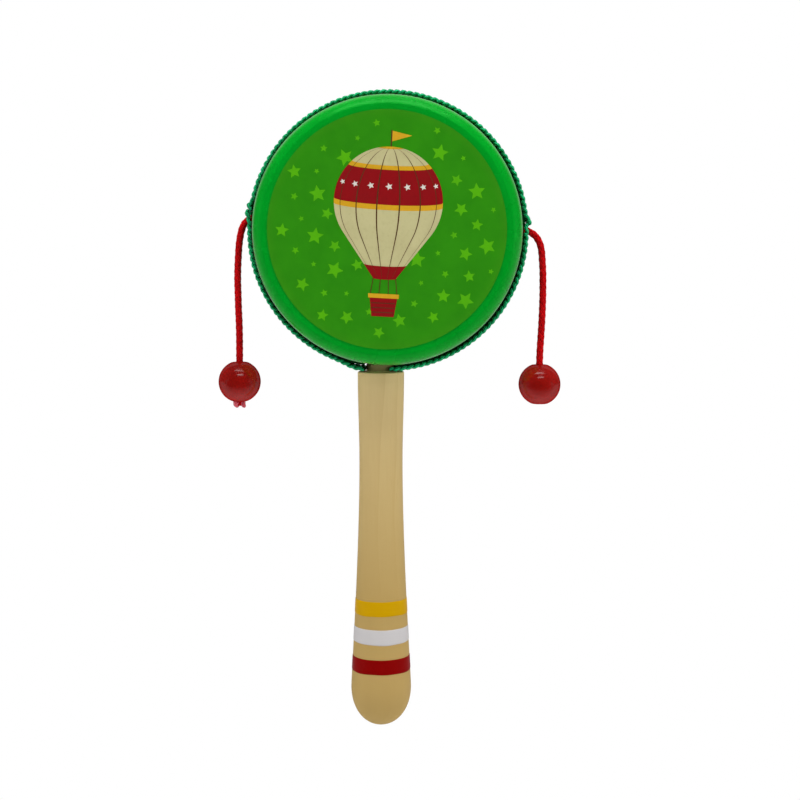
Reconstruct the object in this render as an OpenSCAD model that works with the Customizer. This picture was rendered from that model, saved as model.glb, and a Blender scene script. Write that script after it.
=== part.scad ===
// Pellet drum rattle: a turned hoop with two stretched heads, a braid trim, a turned handle,
// and a bead on a cord at each side. Origin: on the handle's axis, half way along it.
// +Z runs up to the drum, and the front head faces -Y.

/* [Drum] */
// Diameter over the heads
drum_d = 82.8; // [70:0.2:110]
// Depth over the two heads
drum_depth = 33.6; // [28:0.4:44]
// Radius of the rounded shoulder
shoulder_r = 4.6; // [3:0.2:6]
// Thickness of the hoop's wall
hoop_wall = 6.5; // [5.5:0.5:9]
// Rounding of the hoop's inner edges
inner_edge_r = 1.2; // [0.6:0.2:1.4]
// Thickness of a head's skin
head_t = 0.4; // [0.3:0.1:0.8]
// Depth of a head's skirt, from its face down the wall
skirt_depth = 12.4; // [9:0.2:13]
// Diameter of the printed disc
print_d = 72.6; // [50:0.2:73.6]
// Thickness of the printed film
print_t = 0.2; // [0.1:0.05:0.4]
// Lean of the drum on the handle, towards +X, in degrees
drum_lean = 3; // [0:0.5:5]

/* [Trim] */
// Width of the braid
trim_w = 11; // [10:0.5:14]
// How far the braid stands off the skirts
trim_t = 2.3; // [1.6:0.05:2.6]
// Thickness of the braid's ground between its ridges
trim_ground_t = 1.1; // [0.6:0.1:1.3]
// Ridges across the braid
trim_ridges = 4; // [3:1:4]
// Room round a cord where it comes out between two ends of the braid
trim_cord_room = 0.95; // [0.8:0.05:2]
// Room between a cut end of the braid and the neck
trim_neck_room = 0.4; // [0.3:0.1:2]

/* [Handle] */
// Length of the handle below its neck
handle_l = 111.2; // [90:0.2:140]
// Diameter at the top
handle_top_d = 14.6; // [12:0.2:16]
// Diameter at the waist
handle_waist_d = 13.6; // [11:0.1:16]
// Diameter at the belly
handle_belly_d = 18.9; // [16:0.1:24]
// Length from the top to the waist
waist_from_top = 28; // [16:1:32]
// Length from the rounded end to the belly
belly_from_end = 12.2; // [10:0.1:18]
// Rounding of the top edge
top_edge_r = 0.5; // [0.2:0.1:1]
// Diameter of the neck and tenon
neck_d = 7.6; // [6:0.2:8]
// Length of the neck that shows between the handle and the braid
neck_show = 1.1; // [0.4:0.1:3]

/* [Painted bands] */
// Width of the yellow band
yellow_w = 4.6; // [2:0.2:7]
// Width of the white band
white_w = 4.7; // [2:0.1:7]
// Width of the red band
red_w = 4.6; // [2:0.2:7]
// From the rounded end to the yellow band
yellow_from_end = 35.8; // [34:0.1:44]
// From the rounded end to the white band
white_from_end = 27; // [25:0.1:28]
// From the rounded end to the red band
red_from_end = 17.8; // [15:0.1:19]
// Thickness of the paint
paint_t = 0.1; // [0.05:0.01:0.2]

/* [Cords and beads] */
// Diameter of a cord
cord_d = 2.3; // [1.6:0.1:2.6]
// Diameter of a cord's hole in the hoop
cord_hole_d = 2.5; // [2.4:0.1:3.4]
// Height of the left cord's hole above the drum's centre
left_hole_rise = 2.1; // [0:0.1:5]
// Height of the right cord's hole above the drum's centre
right_hole_rise = 2.8; // [0:0.1:5]
// Diameter of a bead
bead_d = 13.2; // [9:0.2:14]
// Diameter of the flat round each end of a bead's bore
bead_flat_d = 4.6; // [4.2:0.2:6]
// Depth of the recess under a bead that takes the end knot
knot_recess_l = 2.4; // [1.8:0.1:4]
// Room round the end knot in its recess
knot_room = 0.15; // [0.1:0.05:0.3]
// Running clearance between a cord and its bead's bore, at each side
bore_clearance = 0.08; // [0.05:0.01:0.1]
// Diameter of the anchor knot inside the hoop
anchor_knot_d = 6; // [4.6:0.2:8]
// Diameter of the end knot that carries a bead
end_knot_d = 3.6; // [3:0.1:3.8]
// Length of the cut end behind an anchor knot
anchor_cut_end_l = 0.7; // [0.3:0.1:3]
// Length of the left cord's cut end below its end knot
left_cut_end_l = 2.9; // [0.3:0.1:4]
// Length of the right cord's cut end below its end knot
right_cut_end_l = 0.7; // [0.3:0.1:4]

/* [Hidden] */

// Glue line between pieces that are bonded on a curved seat
glue_gap = 0.05;
// Clear air between a knot and what it stops against
knot_gap = 0.2;
// Every cut runs past its wall by this much
overrun = 1;

// The routes of the cords, from the mouth of the hole: [across, down], as they hang.
left_upper_route = [[0, 0], [1.8, -0.1], [3.2, -0.55], [4.2, -1.35], [4.95, -2.4], [5.4, -3.6], [5.65, -4.9],
                    [5.8, -8], [6, -12], [6.1, -16], [6.1, -20]];
left_lower_route = [[6.1, -20], [6, -24], [5.9, -28], [5.7, -33], [5.6, -38], [5.6, -42], [5.6, -47], [5.6, -51.6]];
right_upper_route = [[0, 0], [1.9, -0.15], [3.4, -0.7], [4.7, -1.7], [5.7, -3], [6.35, -4.6], [6.7, -6.2],
                     [6.9, -10], [7.1, -14], [7.1, -17], [7.1, -20]];
right_lower_route = [[7.1, -20], [7, -24], [6.8, -29], [6.5, -34], [6.2, -39], [6.1, -43], [6.1, -46], [6.1, -48.8]];
cord_sides = 8;

// Shares of the length between belly and waist where the handle's curve is pulled straight
belly_pull_share = 0.05;
waist_pull_share = 0.4;
// The same for the stretch between waist and top
top_pull_share = 0.35;
// How full the rounded end is: 2 is an ellipse
end_fullness = 2.1;
curve_steps = 12;
// Step from one wrap of an anchor knot to the next, as a share of a wrap's radius
wrap_pitch_share = 1.7;

drum_r = drum_d / 2;
hoop_r = drum_r - head_t - glue_gap;
hoop_half = drum_depth / 2 - head_t;
trim_in_r = drum_r + glue_gap;
trim_out_r = trim_in_r + trim_t;
cord_r = cord_d / 2;
bead_r = bead_d / 2;
neck_r = neck_d / 2;
end_knot_r = (end_knot_d - cord_d) / 2;
bead_flat_up = sqrt(bead_r * bead_r - bead_flat_d * bead_flat_d / 4);
handle_top_z = handle_l / 2;
handle_end_z = -handle_l / 2;
drum_centre_up = trim_out_r + neck_show;
tenon_top = drum_centre_up - hoop_r + hoop_wall;

function along_bezier(a, b, c, d, s) =
    a * pow(1 - s, 3) + 3 * b * s * pow(1 - s, 2) + 3 * c * s * s * (1 - s) + d * pow(s, 3);

// The handle's outline as [radius, height], from the rounded end up to the top edge.
function end_outline() = [for (i = [0:curve_steps])
    let (a = 90 * i / curve_steps)
    [handle_belly_d / 2 * pow(sin(a), 2 / end_fullness),
     handle_end_z + belly_from_end * (1 - pow(cos(a), 2 / end_fullness))]];
function belly_outline() =
    let (low = handle_end_z + belly_from_end, high = handle_top_z - waist_from_top, run = high - low)
    [for (i = [1:curve_steps])
        let (s = i / curve_steps)
        [along_bezier(handle_belly_d, handle_belly_d, handle_waist_d, handle_waist_d, s) / 2,
         along_bezier(low, low + belly_pull_share * run, high - waist_pull_share * run, high, s)]];
function waist_outline() =
    let (low = handle_top_z - waist_from_top, high = handle_top_z - top_edge_r, run = high - low)
    [for (i = [1:curve_steps])
        let (s = i / curve_steps)
        [along_bezier(handle_waist_d, handle_waist_d, handle_top_d, handle_top_d, s) / 2,
         along_bezier(low, low + top_pull_share * run, high - top_pull_share * run, high, s)]];
function handle_outline() = concat(end_outline(), belly_outline(), waist_outline());

// Radius of the handle at a height, read off its outline.
function handle_r_at(z) = lookup(z, [for (p = handle_outline()) [p[1], p[0]]]);

// Places a shape that is modelled about the drum's centre on the leaning drum.
module on_drum() {
    translate([0, 0, handle_top_z]) rotate([0, drum_lean, 0]) translate([0, 0, drum_centre_up]) children();
}

// Where a point [x, z] of the drum's own plane lies on the leaning drum.
function drum_point(x, z) =
    [x * cos(drum_lean) + (z + drum_centre_up) * sin(drum_lean),
     handle_top_z - x * sin(drum_lean) + (z + drum_centre_up) * cos(drum_lean)];

// Turns a profile, [radius, depth], about the drum's axis: an angle runs from +X up to +Z.
module about_drum_axis(from = 0, sweep = 360) {
    rotate([90, 0, 0]) rotate([0, 0, from]) rotate_extrude(angle = sweep, $fn = 128) children();
}

// A round cut along the axis of a cord's hole.
module cord_cut(side, rise, d) {
    translate([0, 0, rise]) rotate([0, side * 90, 0])
        cylinder(h = trim_out_r + overrun, d = d, $fn = 48);
}

// The neck's hole, on the handle's own axis.
module neck_hole() {
    translate([0, 0, handle_top_z - overrun])
        cylinder(h = drum_centre_up + overrun, r = neck_r + glue_gap, $fn = 64);
}

// A quarter disc that rounds a corner of a profile, with its centre at [0, 0].
module quarter(r) {
    intersection() {
        circle(r = r, $fn = 96);
        square(r);
    }
}

module hoop_profile() {
    round_r = shoulder_r - head_t - glue_gap;
    inner_r = hoop_r - hoop_wall;
    for (side = [-1, 1]) scale([1, side]) {
        translate([inner_r, 0]) square([hoop_wall, hoop_half - round_r]);
        translate([inner_r + inner_edge_r, 0]) square([hoop_wall - inner_edge_r - round_r, hoop_half]);
        translate([inner_r, 0]) square([inner_edge_r, hoop_half - inner_edge_r]);
        translate([hoop_r - round_r, hoop_half - round_r]) quarter(round_r);
        translate([inner_r + inner_edge_r, hoop_half - inner_edge_r]) scale([-1, 1]) quarter(inner_edge_r);
    }
}

module hoop() {
    color("burlywood") difference() {
        on_drum() difference() {
            about_drum_axis() hoop_profile();
            cord_cut(-1, left_hole_rise, cord_hole_d);
            cord_cut(1, right_hole_rise, cord_hole_d);
        }
        neck_hole();
    }
}

// Profile of the back head: the flat skin, the shoulder and the skirt.
module head_profile() {
    face = drum_depth / 2;
    translate([0, face - head_t]) square([drum_r - shoulder_r, head_t]);
    translate([drum_r - head_t, face - skirt_depth]) square([head_t, skirt_depth - shoulder_r]);
    translate([drum_r - shoulder_r, face - shoulder_r]) difference() {
        quarter(shoulder_r);
        circle(r = shoulder_r - head_t, $fn = 96);
    }
}

module head(side) {
    color("forestgreen") difference() {
        on_drum() difference() {
            about_drum_axis() scale([1, -side]) head_profile();
            cord_cut(-1, left_hole_rise, cord_hole_d);
            cord_cut(1, right_hole_rise, cord_hole_d);
        }
        neck_hole();
    }
}

module front_head() { head(-1); }
module back_head() { head(1); }

module print_film(side) {
    color("olivedrab") on_drum() translate([0, side * drum_depth / 2, 0]) rotate([-side * 90, 0, 0])
        cylinder(h = print_t, d = print_d, $fn = 128);
}

module front_print() { print_film(-1); }
module back_print() { print_film(1); }

// Section of the braid: a flat ground with a row of round ridges, edge to edge.
module trim_profile() {
    ridge_r = trim_t / 2;
    pitch = (trim_w - trim_t) / (trim_ridges - 1);
    translate([trim_in_r, -trim_w / 2 + ridge_r]) square([trim_ground_t, trim_w - trim_t]);
    for (i = [0:trim_ridges - 1])
        translate([trim_in_r + ridge_r, -trim_w / 2 + ridge_r + i * pitch]) circle(r = ridge_r, $fn = 48);
}

// Angle on the braid's ring that a length across it takes.
function trim_angle(across) = asin(across / trim_in_r);
butt_angle = trim_angle(glue_gap);
neck_gap_angle = trim_angle(neck_r + trim_neck_room);
left_cord_angle = 180 - trim_angle(left_hole_rise);
right_cord_angle = trim_angle(right_hole_rise);
neck_angle = 270;

// One length of the braid. Two lengths meet at each cord, which comes out through a round eye between them.
module trim_arc(from, to) {
    eye_d = cord_d + 2 * trim_cord_room;
    color("seagreen") on_drum() difference() {
        about_drum_axis(from, to - from) trim_profile();
        cord_cut(-1, left_hole_rise, eye_d);
        cord_cut(1, right_hole_rise, eye_d);
    }
}

module trim_top() { trim_arc(right_cord_angle + butt_angle, left_cord_angle - butt_angle); }
module trim_lower_left() { trim_arc(left_cord_angle + butt_angle, neck_angle - neck_gap_angle); }
module trim_lower_right() { trim_arc(neck_angle + neck_gap_angle, 360 + right_cord_angle - butt_angle); }

module handle() {
    color("tan") {
        rotate_extrude($fn = 96) polygon(concat(
            [for (p = handle_outline()) p],
            [for (a = [22.5:22.5:90])
                [handle_top_d / 2 - top_edge_r * (1 - cos(a)), handle_top_z - top_edge_r * (1 - sin(a))]],
            [[0, handle_top_z]]));
        translate([0, 0, handle_top_z - overrun]) cylinder(h = tenon_top + overrun, r = neck_r, $fn = 64);
    }
}

// A ring of paint that follows the handle's outline between two heights.
module paint_band(from_end, w) {
    low = handle_end_z + from_end;
    steps = 6;
    heights = [for (i = [0:steps]) low + w * i / steps];
    rotate_extrude($fn = 96) polygon(concat(
        [for (z = heights) [handle_r_at(z) + paint_t, z]],
        [for (i = [steps:-1:0]) [handle_r_at(heights[i]), heights[i]]]));
}

module yellow_band() { color("gold") paint_band(yellow_from_end, yellow_w); }
module white_band() { color("white") paint_band(white_from_end, white_w); }
module red_band() { color("firebrick") paint_band(red_from_end, red_w); }

// Direction of a route at a point, as a unit [across, up].
function route_way(route, i) =
    let (a = route[max(i - 1, 0)], b = route[min(i + 1, len(route) - 1)], d = b - a)
    d / norm(d);

// A ring of a tube at a point p, square to the way it runs.
function tube_ring(p, way, r) =
    [for (k = [0:cord_sides - 1])
        let (a = 360 * k / cord_sides)
        [p[0] - way[1] * r * cos(a), r * sin(a), p[1] + way[0] * r * cos(a)]];

// A tube through rings that are each given as [point, way, radius]. The points lie in the XZ plane.
module tube(stations) {
    rings = [for (s = stations) tube_ring(s[0], s[1], s[2])];
    n = cord_sides;
    top = len(rings) - 1;
    polyhedron(
        points = [for (ring = rings) for (p = ring) p],
        faces = concat(
            [for (k = [1:n - 2]) [0, k, k + 1]],
            [for (j = [0:top - 1]) for (k = [0:n - 1]) [j * n + k, (j + 1) * n + k, (j + 1) * n + (k + 1) % n]],
            [for (j = [0:top - 1]) for (k = [0:n - 1]) [j * n + k, (j + 1) * n + (k + 1) % n, j * n + (k + 1) % n]],
            [for (k = [1:n - 2]) [top * n, top * n + k + 1, top * n + k]]));
}

// The stations of a plain cord along a route.
function cord_stations(route) = [for (i = [0:len(route) - 1]) [route[i], route_way(route, i), cord_r]];

// A route as it lies on one side of the toy: side is -1 on the left and 1 on the right.
function placed(route, side, rise) =
    let (mouth = drum_point(side * drum_r, rise))
    [for (p = route) [mouth[0] + side * p[0], mouth[1] + p[1]]];

// The upper cord, from the mouth of its hole to the knuckle where it bends, with a round end there.
module upper_cord(route, side, rise) {
    path = placed(route, side, rise);
    end = path[len(path) - 1];
    way = route_way(path, len(path) - 1);
    color("firebrick") tube(concat(cord_stations(path),
        [for (a = [30, 60, 80]) [end + way * cord_r * sin(a), way, cord_r * cos(a)]]));
}

// The lower cord, from just under the knuckle through the bead, with its end knot in the bead's recess.
module lower_cord(route, side, rise, cut_end_l) {
    path = placed(route, side, rise);
    last = len(path) - 1;
    down = [0, -1];
    knot_top = [path[last][0], path[last][1] - bead_flat_up + knot_recess_l - knot_gap];
    start = path[0] + route_way(path, 0) * (cord_r + 2 * glue_gap);
    color("firebrick") tube(concat(
        cord_stations(concat([start], [for (i = [1:last]) path[i]])),
        [[knot_top, down, cord_r]],
        [for (a = [-75:25:75])
            [knot_top + down * end_knot_r * (1 + sin(a)), down, end_knot_d / 2 - end_knot_r * (1 - cos(a))]],
        [for (l = [0, cut_end_l]) [knot_top + down * (2 * end_knot_r + l), down, cord_r]]));
}

// The knot inside the hoop and the stub of cord in its hole, turned about the hole's own axis.
module anchor_knot(side, rise) {
    knot_r = anchor_knot_d / 2;
    wrap_r = (knot_r - cord_r / 2) / 2;
    wrap_pitch = wrap_pitch_share * wrap_r;
    inner_face = sqrt(pow(hoop_r - hoop_wall, 2) - pow(abs(rise) + knot_r, 2));
    first_wrap = inner_face - knot_gap - wrap_r;
    cut_end = first_wrap - wrap_pitch - wrap_r - anchor_cut_end_l;
    color("firebrick") on_drum() translate([0, 0, rise]) rotate([0, side * 90, 0]) rotate_extrude($fn = 48) {
        translate([0, cut_end]) square([cord_r, drum_r - 2 * glue_gap - cut_end]);
        for (wrap = [0, 1]) translate([knot_r - wrap_r, first_wrap - wrap * wrap_pitch]) circle(r = wrap_r, $fn = 32);
    }
}

// A turned bead on its cord: a ball with a flat at each end of its bore, and a recess in the lower one.
module bead(route, side, rise) {
    path = placed(route, side, rise);
    centre = path[len(path) - 1];
    color("brown") translate([centre[0], 0, centre[1]]) rotate_extrude($fn = 96)
        difference() {
            intersection() {
                circle(r = bead_r, $fn = 96);
                translate([0, -bead_flat_up]) square([bead_r, 2 * bead_flat_up]);
            }
            translate([0, -bead_r]) square([cord_r + bore_clearance, bead_d]);
            translate([0, -bead_flat_up - overrun])
                square([end_knot_d / 2 + knot_room, knot_recess_l + overrun]);
        }
}

module left_anchor_knot() { anchor_knot(-1, left_hole_rise); }
module left_cord_upper() { upper_cord(left_upper_route, -1, left_hole_rise); }
module left_cord_lower() { lower_cord(left_lower_route, -1, left_hole_rise, left_cut_end_l); }
module left_bead() { bead(left_lower_route, -1, left_hole_rise); }
module right_anchor_knot() { anchor_knot(1, right_hole_rise); }
module right_cord_upper() { upper_cord(right_upper_route, 1, right_hole_rise); }
module right_cord_lower() { lower_cord(right_lower_route, 1, right_hole_rise, right_cut_end_l); }
module right_bead() { bead(right_lower_route, 1, right_hole_rise); }

hoop();
front_head();
back_head();
front_print();
back_print();
trim_top();
trim_lower_left();
trim_lower_right();
handle();
yellow_band();
white_band();
red_band();
left_anchor_knot();
left_cord_upper();
left_cord_lower();
left_bead();
right_anchor_knot();
right_cord_upper();
right_cord_lower();
right_bead();
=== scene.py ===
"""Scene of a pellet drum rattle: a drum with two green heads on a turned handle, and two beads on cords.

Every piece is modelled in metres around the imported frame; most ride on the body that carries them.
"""

import logging
import math
from collections.abc import Callable, Mapping, Sequence
from dataclasses import dataclass, field
from enum import Enum
from typing import Any

import bpy
import numpy as np
from mathutils import Matrix, Vector


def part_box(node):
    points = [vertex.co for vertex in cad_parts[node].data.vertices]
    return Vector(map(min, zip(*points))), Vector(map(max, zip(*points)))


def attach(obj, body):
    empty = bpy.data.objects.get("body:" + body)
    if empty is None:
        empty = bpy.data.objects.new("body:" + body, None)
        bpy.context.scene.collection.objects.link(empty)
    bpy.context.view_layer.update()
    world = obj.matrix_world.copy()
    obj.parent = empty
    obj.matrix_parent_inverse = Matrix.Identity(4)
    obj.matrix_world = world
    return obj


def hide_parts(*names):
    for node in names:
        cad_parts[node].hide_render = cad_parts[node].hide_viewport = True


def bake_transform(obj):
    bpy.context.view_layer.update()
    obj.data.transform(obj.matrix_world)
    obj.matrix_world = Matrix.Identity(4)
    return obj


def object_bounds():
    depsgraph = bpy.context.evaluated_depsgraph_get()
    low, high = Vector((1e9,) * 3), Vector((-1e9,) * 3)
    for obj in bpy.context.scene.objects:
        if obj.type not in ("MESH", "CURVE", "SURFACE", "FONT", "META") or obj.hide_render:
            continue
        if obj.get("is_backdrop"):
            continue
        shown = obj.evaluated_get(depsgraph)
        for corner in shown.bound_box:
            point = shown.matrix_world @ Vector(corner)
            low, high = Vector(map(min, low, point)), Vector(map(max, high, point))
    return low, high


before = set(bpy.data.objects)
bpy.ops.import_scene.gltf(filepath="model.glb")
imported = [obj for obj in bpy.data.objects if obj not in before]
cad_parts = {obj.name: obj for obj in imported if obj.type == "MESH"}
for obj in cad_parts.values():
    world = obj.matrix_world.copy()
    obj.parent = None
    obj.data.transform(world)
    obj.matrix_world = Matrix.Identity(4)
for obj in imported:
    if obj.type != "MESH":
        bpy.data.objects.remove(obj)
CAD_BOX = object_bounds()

log = logging.getLogger("rattle")

MM = 0.001
UP = Vector((0, 0, 1))
TURN = 2 * math.pi

Colour = tuple[float, float, float, float]
Node = bpy.types.Node
Piece = bpy.types.Object
Socket = bpy.types.NodeSocket
Tree = bpy.types.NodeTree
Inputs = Mapping[str | int, Any]
Outline = list[tuple[float, float]]


class Side(Enum):
    """The side of the toy that a cord hangs at, as the sign of its X."""

    LEFT = -1
    RIGHT = 1

    @property
    def word(self) -> str:
        """The side's name, as the nodes and bodies spell it."""
        return self.name.lower()


class Face(Enum):
    """The face of the drum that a head closes, as the sign of its Y."""

    FRONT = -1
    BACK = 1

    @property
    def word(self) -> str:
        """The face's name, as the nodes spell it."""
        return self.name.lower()


def screen(red: int, green: int, blue: int) -> Colour:
    """Turns a colour as a screen shows it into the linear colour that a shader takes.

    Args:
        red: Red, from 0 to 255.
        green: Green, from 0 to 255.
        blue: Blue, from 0 to 255.

    Returns:
        The linear colour, with an alpha of 1.
    """

    def linear(value: int) -> float:
        """Undoes the screen's curve for one channel."""
        share = value / 255
        return share / 12.92 if share <= 0.04045 else ((share + 0.055) / 1.055) ** 2.4

    return (linear(red), linear(green), linear(blue), 1.0)


class NodeSheet:
    """A node tree under construction, with short calls that place nodes and join them."""

    def __init__(self, tree: Tree) -> None:
        """Takes the tree that the calls add to."""
        self.tree = tree

    def put(self, kind: str, inputs: Inputs | None = None, **settings: Any) -> Node:
        """Adds one node.

        Args:
            kind: The node's type name.
            inputs: A value or a socket for each input that is set, by the input's name or number.
            **settings: The node's own settings.

        Returns:
            The new node.
        """
        node = self.tree.nodes.new(kind)
        for name, value in settings.items():
            setattr(node, name, value)
        self.fill(node, inputs or {})
        return node

    def fill(self, node: Node, inputs: Inputs) -> None:
        """Joins a socket, or sets a value, at each of a node's inputs that is given."""
        for key, value in inputs.items():
            if isinstance(value, Socket):
                self.tree.links.new(value, node.inputs[key])
            else:
                node.inputs[key].default_value = value

    def sum(self, operation: str, *values: Any, clamp: bool = False) -> Socket:
        """Adds a Math node and returns its result."""
        node = self.put("ShaderNodeMath", dict(enumerate(values)), operation=operation, use_clamp=clamp)
        return node.outputs[0]

    def times(self, *values: Any, clamp: bool = False) -> Socket:
        """Multiplies two values."""
        return self.sum("MULTIPLY", *values, clamp=clamp)

    def plus(self, *values: Any, clamp: bool = False) -> Socket:
        """Adds two values."""
        return self.sum("ADD", *values, clamp=clamp)

    def part(self, vector: Any, axis: int) -> Socket:
        """Takes one part of a vector, by its axis' number."""
        return self.put("ShaderNodeSeparateXYZ", {0: vector}).outputs[axis]

    def blend(self, share: Any, low: Any, high: Any, kind: str = "MIX") -> Socket:
        """Adds a colour Mix node, which gives low at a share of 0 and high at 1."""
        node = self.put("ShaderNodeMix", {0: share, 6: low, 7: high}, data_type="RGBA", blend_type=kind)
        return node.outputs[2]

    def spread(self, value: Any, low: float, high: float, to_low: float = 0.0, to_high: float = 1.0) -> Any:
        """Maps a range of values to another one, held at its ends, and returns the result."""
        return self.put("ShaderNodeMapRange", {0: value, 1: low, 2: high, 3: to_low, 4: to_high}).outputs[0]

    def cloud(self, vector: Any, scale: float, detail: float = 2.0, rough: float = 0.5) -> Any:
        """Adds a noise texture and returns its value."""
        inputs = {"Vector": vector, "Scale": scale, "Detail": detail, "Roughness": rough}
        return self.put("ShaderNodeTexNoise", inputs).outputs[0]

    def stretched(self, vector: Any, scale: Sequence[float], place: Sequence[float] = (0, 0, 0)) -> Any:
        """Scales and moves a coordinate, and returns it."""
        return self.put("ShaderNodeMapping", {"Vector": vector, "Scale": scale, "Location": place}).outputs[0]

    def bump(self, height: Any, strength: float, distance: float, normal: Any = None) -> Socket:
        """Adds a Bump node and returns its normal."""
        inputs = {"Height": height, "Strength": strength, "Distance": distance}
        if normal is not None:
            inputs["Normal"] = normal
        return self.put("ShaderNodeBump", inputs).outputs[0]


def new_group(
    name: str, inputs: Mapping[str, str], outputs: Mapping[str, str]
) -> tuple[Any, NodeSheet, Any, Any]:
    """Makes an empty shader node group.

    Args:
        name: The group's name.
        inputs: The kind of each input, by its name: Vector, Float or Color.
        outputs: The kind of each output, by its name.

    Returns:
        The group, a sheet to build it on, its input node's sockets and its output node's sockets.
    """
    group = bpy.data.node_groups.new(name, "ShaderNodeTree")
    for way, sockets in (("INPUT", inputs), ("OUTPUT", outputs)):
        for label, kind in sockets.items():
            group.interface.new_socket(name=label, in_out=way, socket_type=f"NodeSocket{kind}")
    sheet = NodeSheet(group)
    return group, sheet, sheet.put("NodeGroupInput").outputs, sheet.put("NodeGroupOutput").inputs


def wood_grain() -> Tree:
    """Builds the grain of a pale, close wood whose fibres run along Z.

    Returns:
        A group with outputs Shade, from early to late wood, Fleck, for the short dark pores, and Relief.
    """
    group, sheet, given, made = new_group(
        "wood grain",
        {"Vector": "Vector", "Rings": "Float"},
        {"Shade": "Float", "Fleck": "Float", "Relief": "Float"},
    )
    join = sheet.tree.links.new
    at = given["Vector"]
    fibre = sheet.cloud(sheet.stretched(at, (1, 1, 0.035)), 1500, 3, 0.6)
    broad = sheet.cloud(sheet.stretched(at, (1, 1, 0.1)), 260, 2)
    sway = sheet.cloud(sheet.stretched(at, (1, 1, 0.22)), 55, 2)
    pith = (0.031, 0.044, 0)
    across = sheet.put("ShaderNodeSeparateXYZ", {0: sheet.stretched(at, (1, 1, 1), pith)}).outputs
    squares = [sheet.sum("POWER", across[axis], 2.0) for axis in (0, 1)]
    from_pith = sheet.sum("SQRT", sheet.plus(*squares))
    counted = sheet.times(from_pith, given["Rings"])
    ring = sheet.sum("FRACT", sheet.plus(counted, sheet.times(sway, 1.6)))
    late = sheet.sum("POWER", ring, 3.0)
    shade = sheet.plus(sheet.times(late, 0.34), sheet.times(fibre, 0.36))
    join(sheet.plus(shade, sheet.times(broad, 0.34), clamp=True), made["Shade"])
    cells = {"Vector": sheet.stretched(at, (1, 1, 0.07)), "Scale": 1250.0}
    pores = sheet.spread(sheet.put("ShaderNodeTexVoronoi", cells).outputs[0], 0.16, 0.05)
    join(sheet.times(pores, sheet.spread(broad, 0.5, 0.68)), made["Fleck"])
    join(sheet.sum("SUBTRACT", fibre, sheet.times(late, 0.3)), made["Relief"])
    return group


def handling() -> Tree:
    """Builds the marks that small hands leave on a glossy finish.

    Returns:
        A group with outputs Smudge, for dull patches, Scuff, for fine scratches, and Ripple, for waviness.
    """
    group, sheet, given, made = new_group(
        "handling marks", {"Vector": "Vector"}, {"Smudge": "Float", "Scuff": "Float", "Ripple": "Float"}
    )
    join = sheet.tree.links.new
    at = given["Vector"]
    join(sheet.spread(sheet.cloud(at, 120, 3), 0.42, 0.7), made["Smudge"])
    waves = {"Scale": 190.0, "Distortion": 26.0, "Detail": 2.0, "Detail Scale": 1.4}
    lines = sheet.put("ShaderNodeTexWave", {"Vector": sheet.stretched(at, (1, 0.4, 1)), **waves}).outputs[1]
    patches = sheet.spread(sheet.cloud(at, 210, 2), 0.55, 0.72)
    join(sheet.times(sheet.spread(lines, 0.975, 1.0), patches), made["Scuff"])
    join(sheet.cloud(at, 420, 1), made["Ripple"])
    return group


def yarn_lay() -> Tree:
    """Builds the filaments of a yarn, on a UV map with U round the yarn and V along it in millimetres.

    Returns:
        A group with outputs Filament, the fine ridges, Valley, painted shade in the hollows between them, and
        Fuzz.
    """
    group, sheet, given, made = new_group(
        "yarn lay",
        {"UV": "Vector", "Filaments": "Float", "Twist": "Float"},
        {"Filament": "Float", "Valley": "Float", "Fuzz": "Float"},
    )
    join = sheet.tree.links.new
    place = sheet.put("ShaderNodeSeparateXYZ", {0: given["UV"]}).outputs
    wander = sheet.cloud(given["UV"], 3.0, 2)
    counted = sheet.times(place[0], given["Filaments"])
    around = sheet.plus(counted, sheet.times(wander, 0.9))
    turned = sheet.plus(around, sheet.times(place[1], given["Twist"]))
    ridge = sheet.sum("ABSOLUTE", sheet.sum("SINE", sheet.times(turned, math.pi)))
    join(ridge, made["Filament"])
    join(sheet.spread(ridge, 0.45, 0.0), made["Valley"])
    join(sheet.cloud(sheet.stretched(given["UV"], (30, 3, 1)), 2.0, 3, 0.7), made["Fuzz"])
    return group


class Finish:
    """A finish with a material that is made once, when the first piece asks for it."""

    name: str
    groups: dict[Callable[[], Tree], Tree] = {}

    def material(self) -> bpy.types.Material:
        """Returns the finish's material."""
        known = bpy.data.materials.get(self.name)
        if known is not None:
            return known
        made = bpy.data.materials.new(self.name)
        made.use_nodes = True
        made.node_tree.nodes.clear()
        sheet = NodeSheet(made.node_tree)
        shader = sheet.put("ShaderNodeBsdfPrincipled")
        sheet.put("ShaderNodeOutputMaterial", {0: shader.outputs[0]})
        self.dress(sheet, shader)
        return made

    def dress(self, sheet: NodeSheet, shader: Node) -> None:
        """Joins the finish's nodes to its shader."""
        raise NotImplementedError

    @staticmethod
    def place(sheet: NodeSheet) -> Socket:
        """Returns the coordinate on the piece, in metres."""
        return sheet.put("ShaderNodeTexCoord").outputs["Object"]

    @classmethod
    def use(cls, sheet: NodeSheet, build: Callable[[], Tree], inputs: Inputs) -> Any:
        """Places a shared node group and returns its outputs."""
        if build not in cls.groups:
            cls.groups[build] = build()
        node = sheet.put("ShaderNodeGroup", node_tree=cls.groups[build])
        sheet.fill(node, inputs)
        return node.outputs

    @staticmethod
    def set(sheet: NodeSheet, shader: Node, **sockets: Any) -> None:
        """Sets the shader's sockets, with a low line in a name for a space."""
        sheet.fill(shader, {key.replace("_", " "): value for key, value in sockets.items()})


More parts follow.
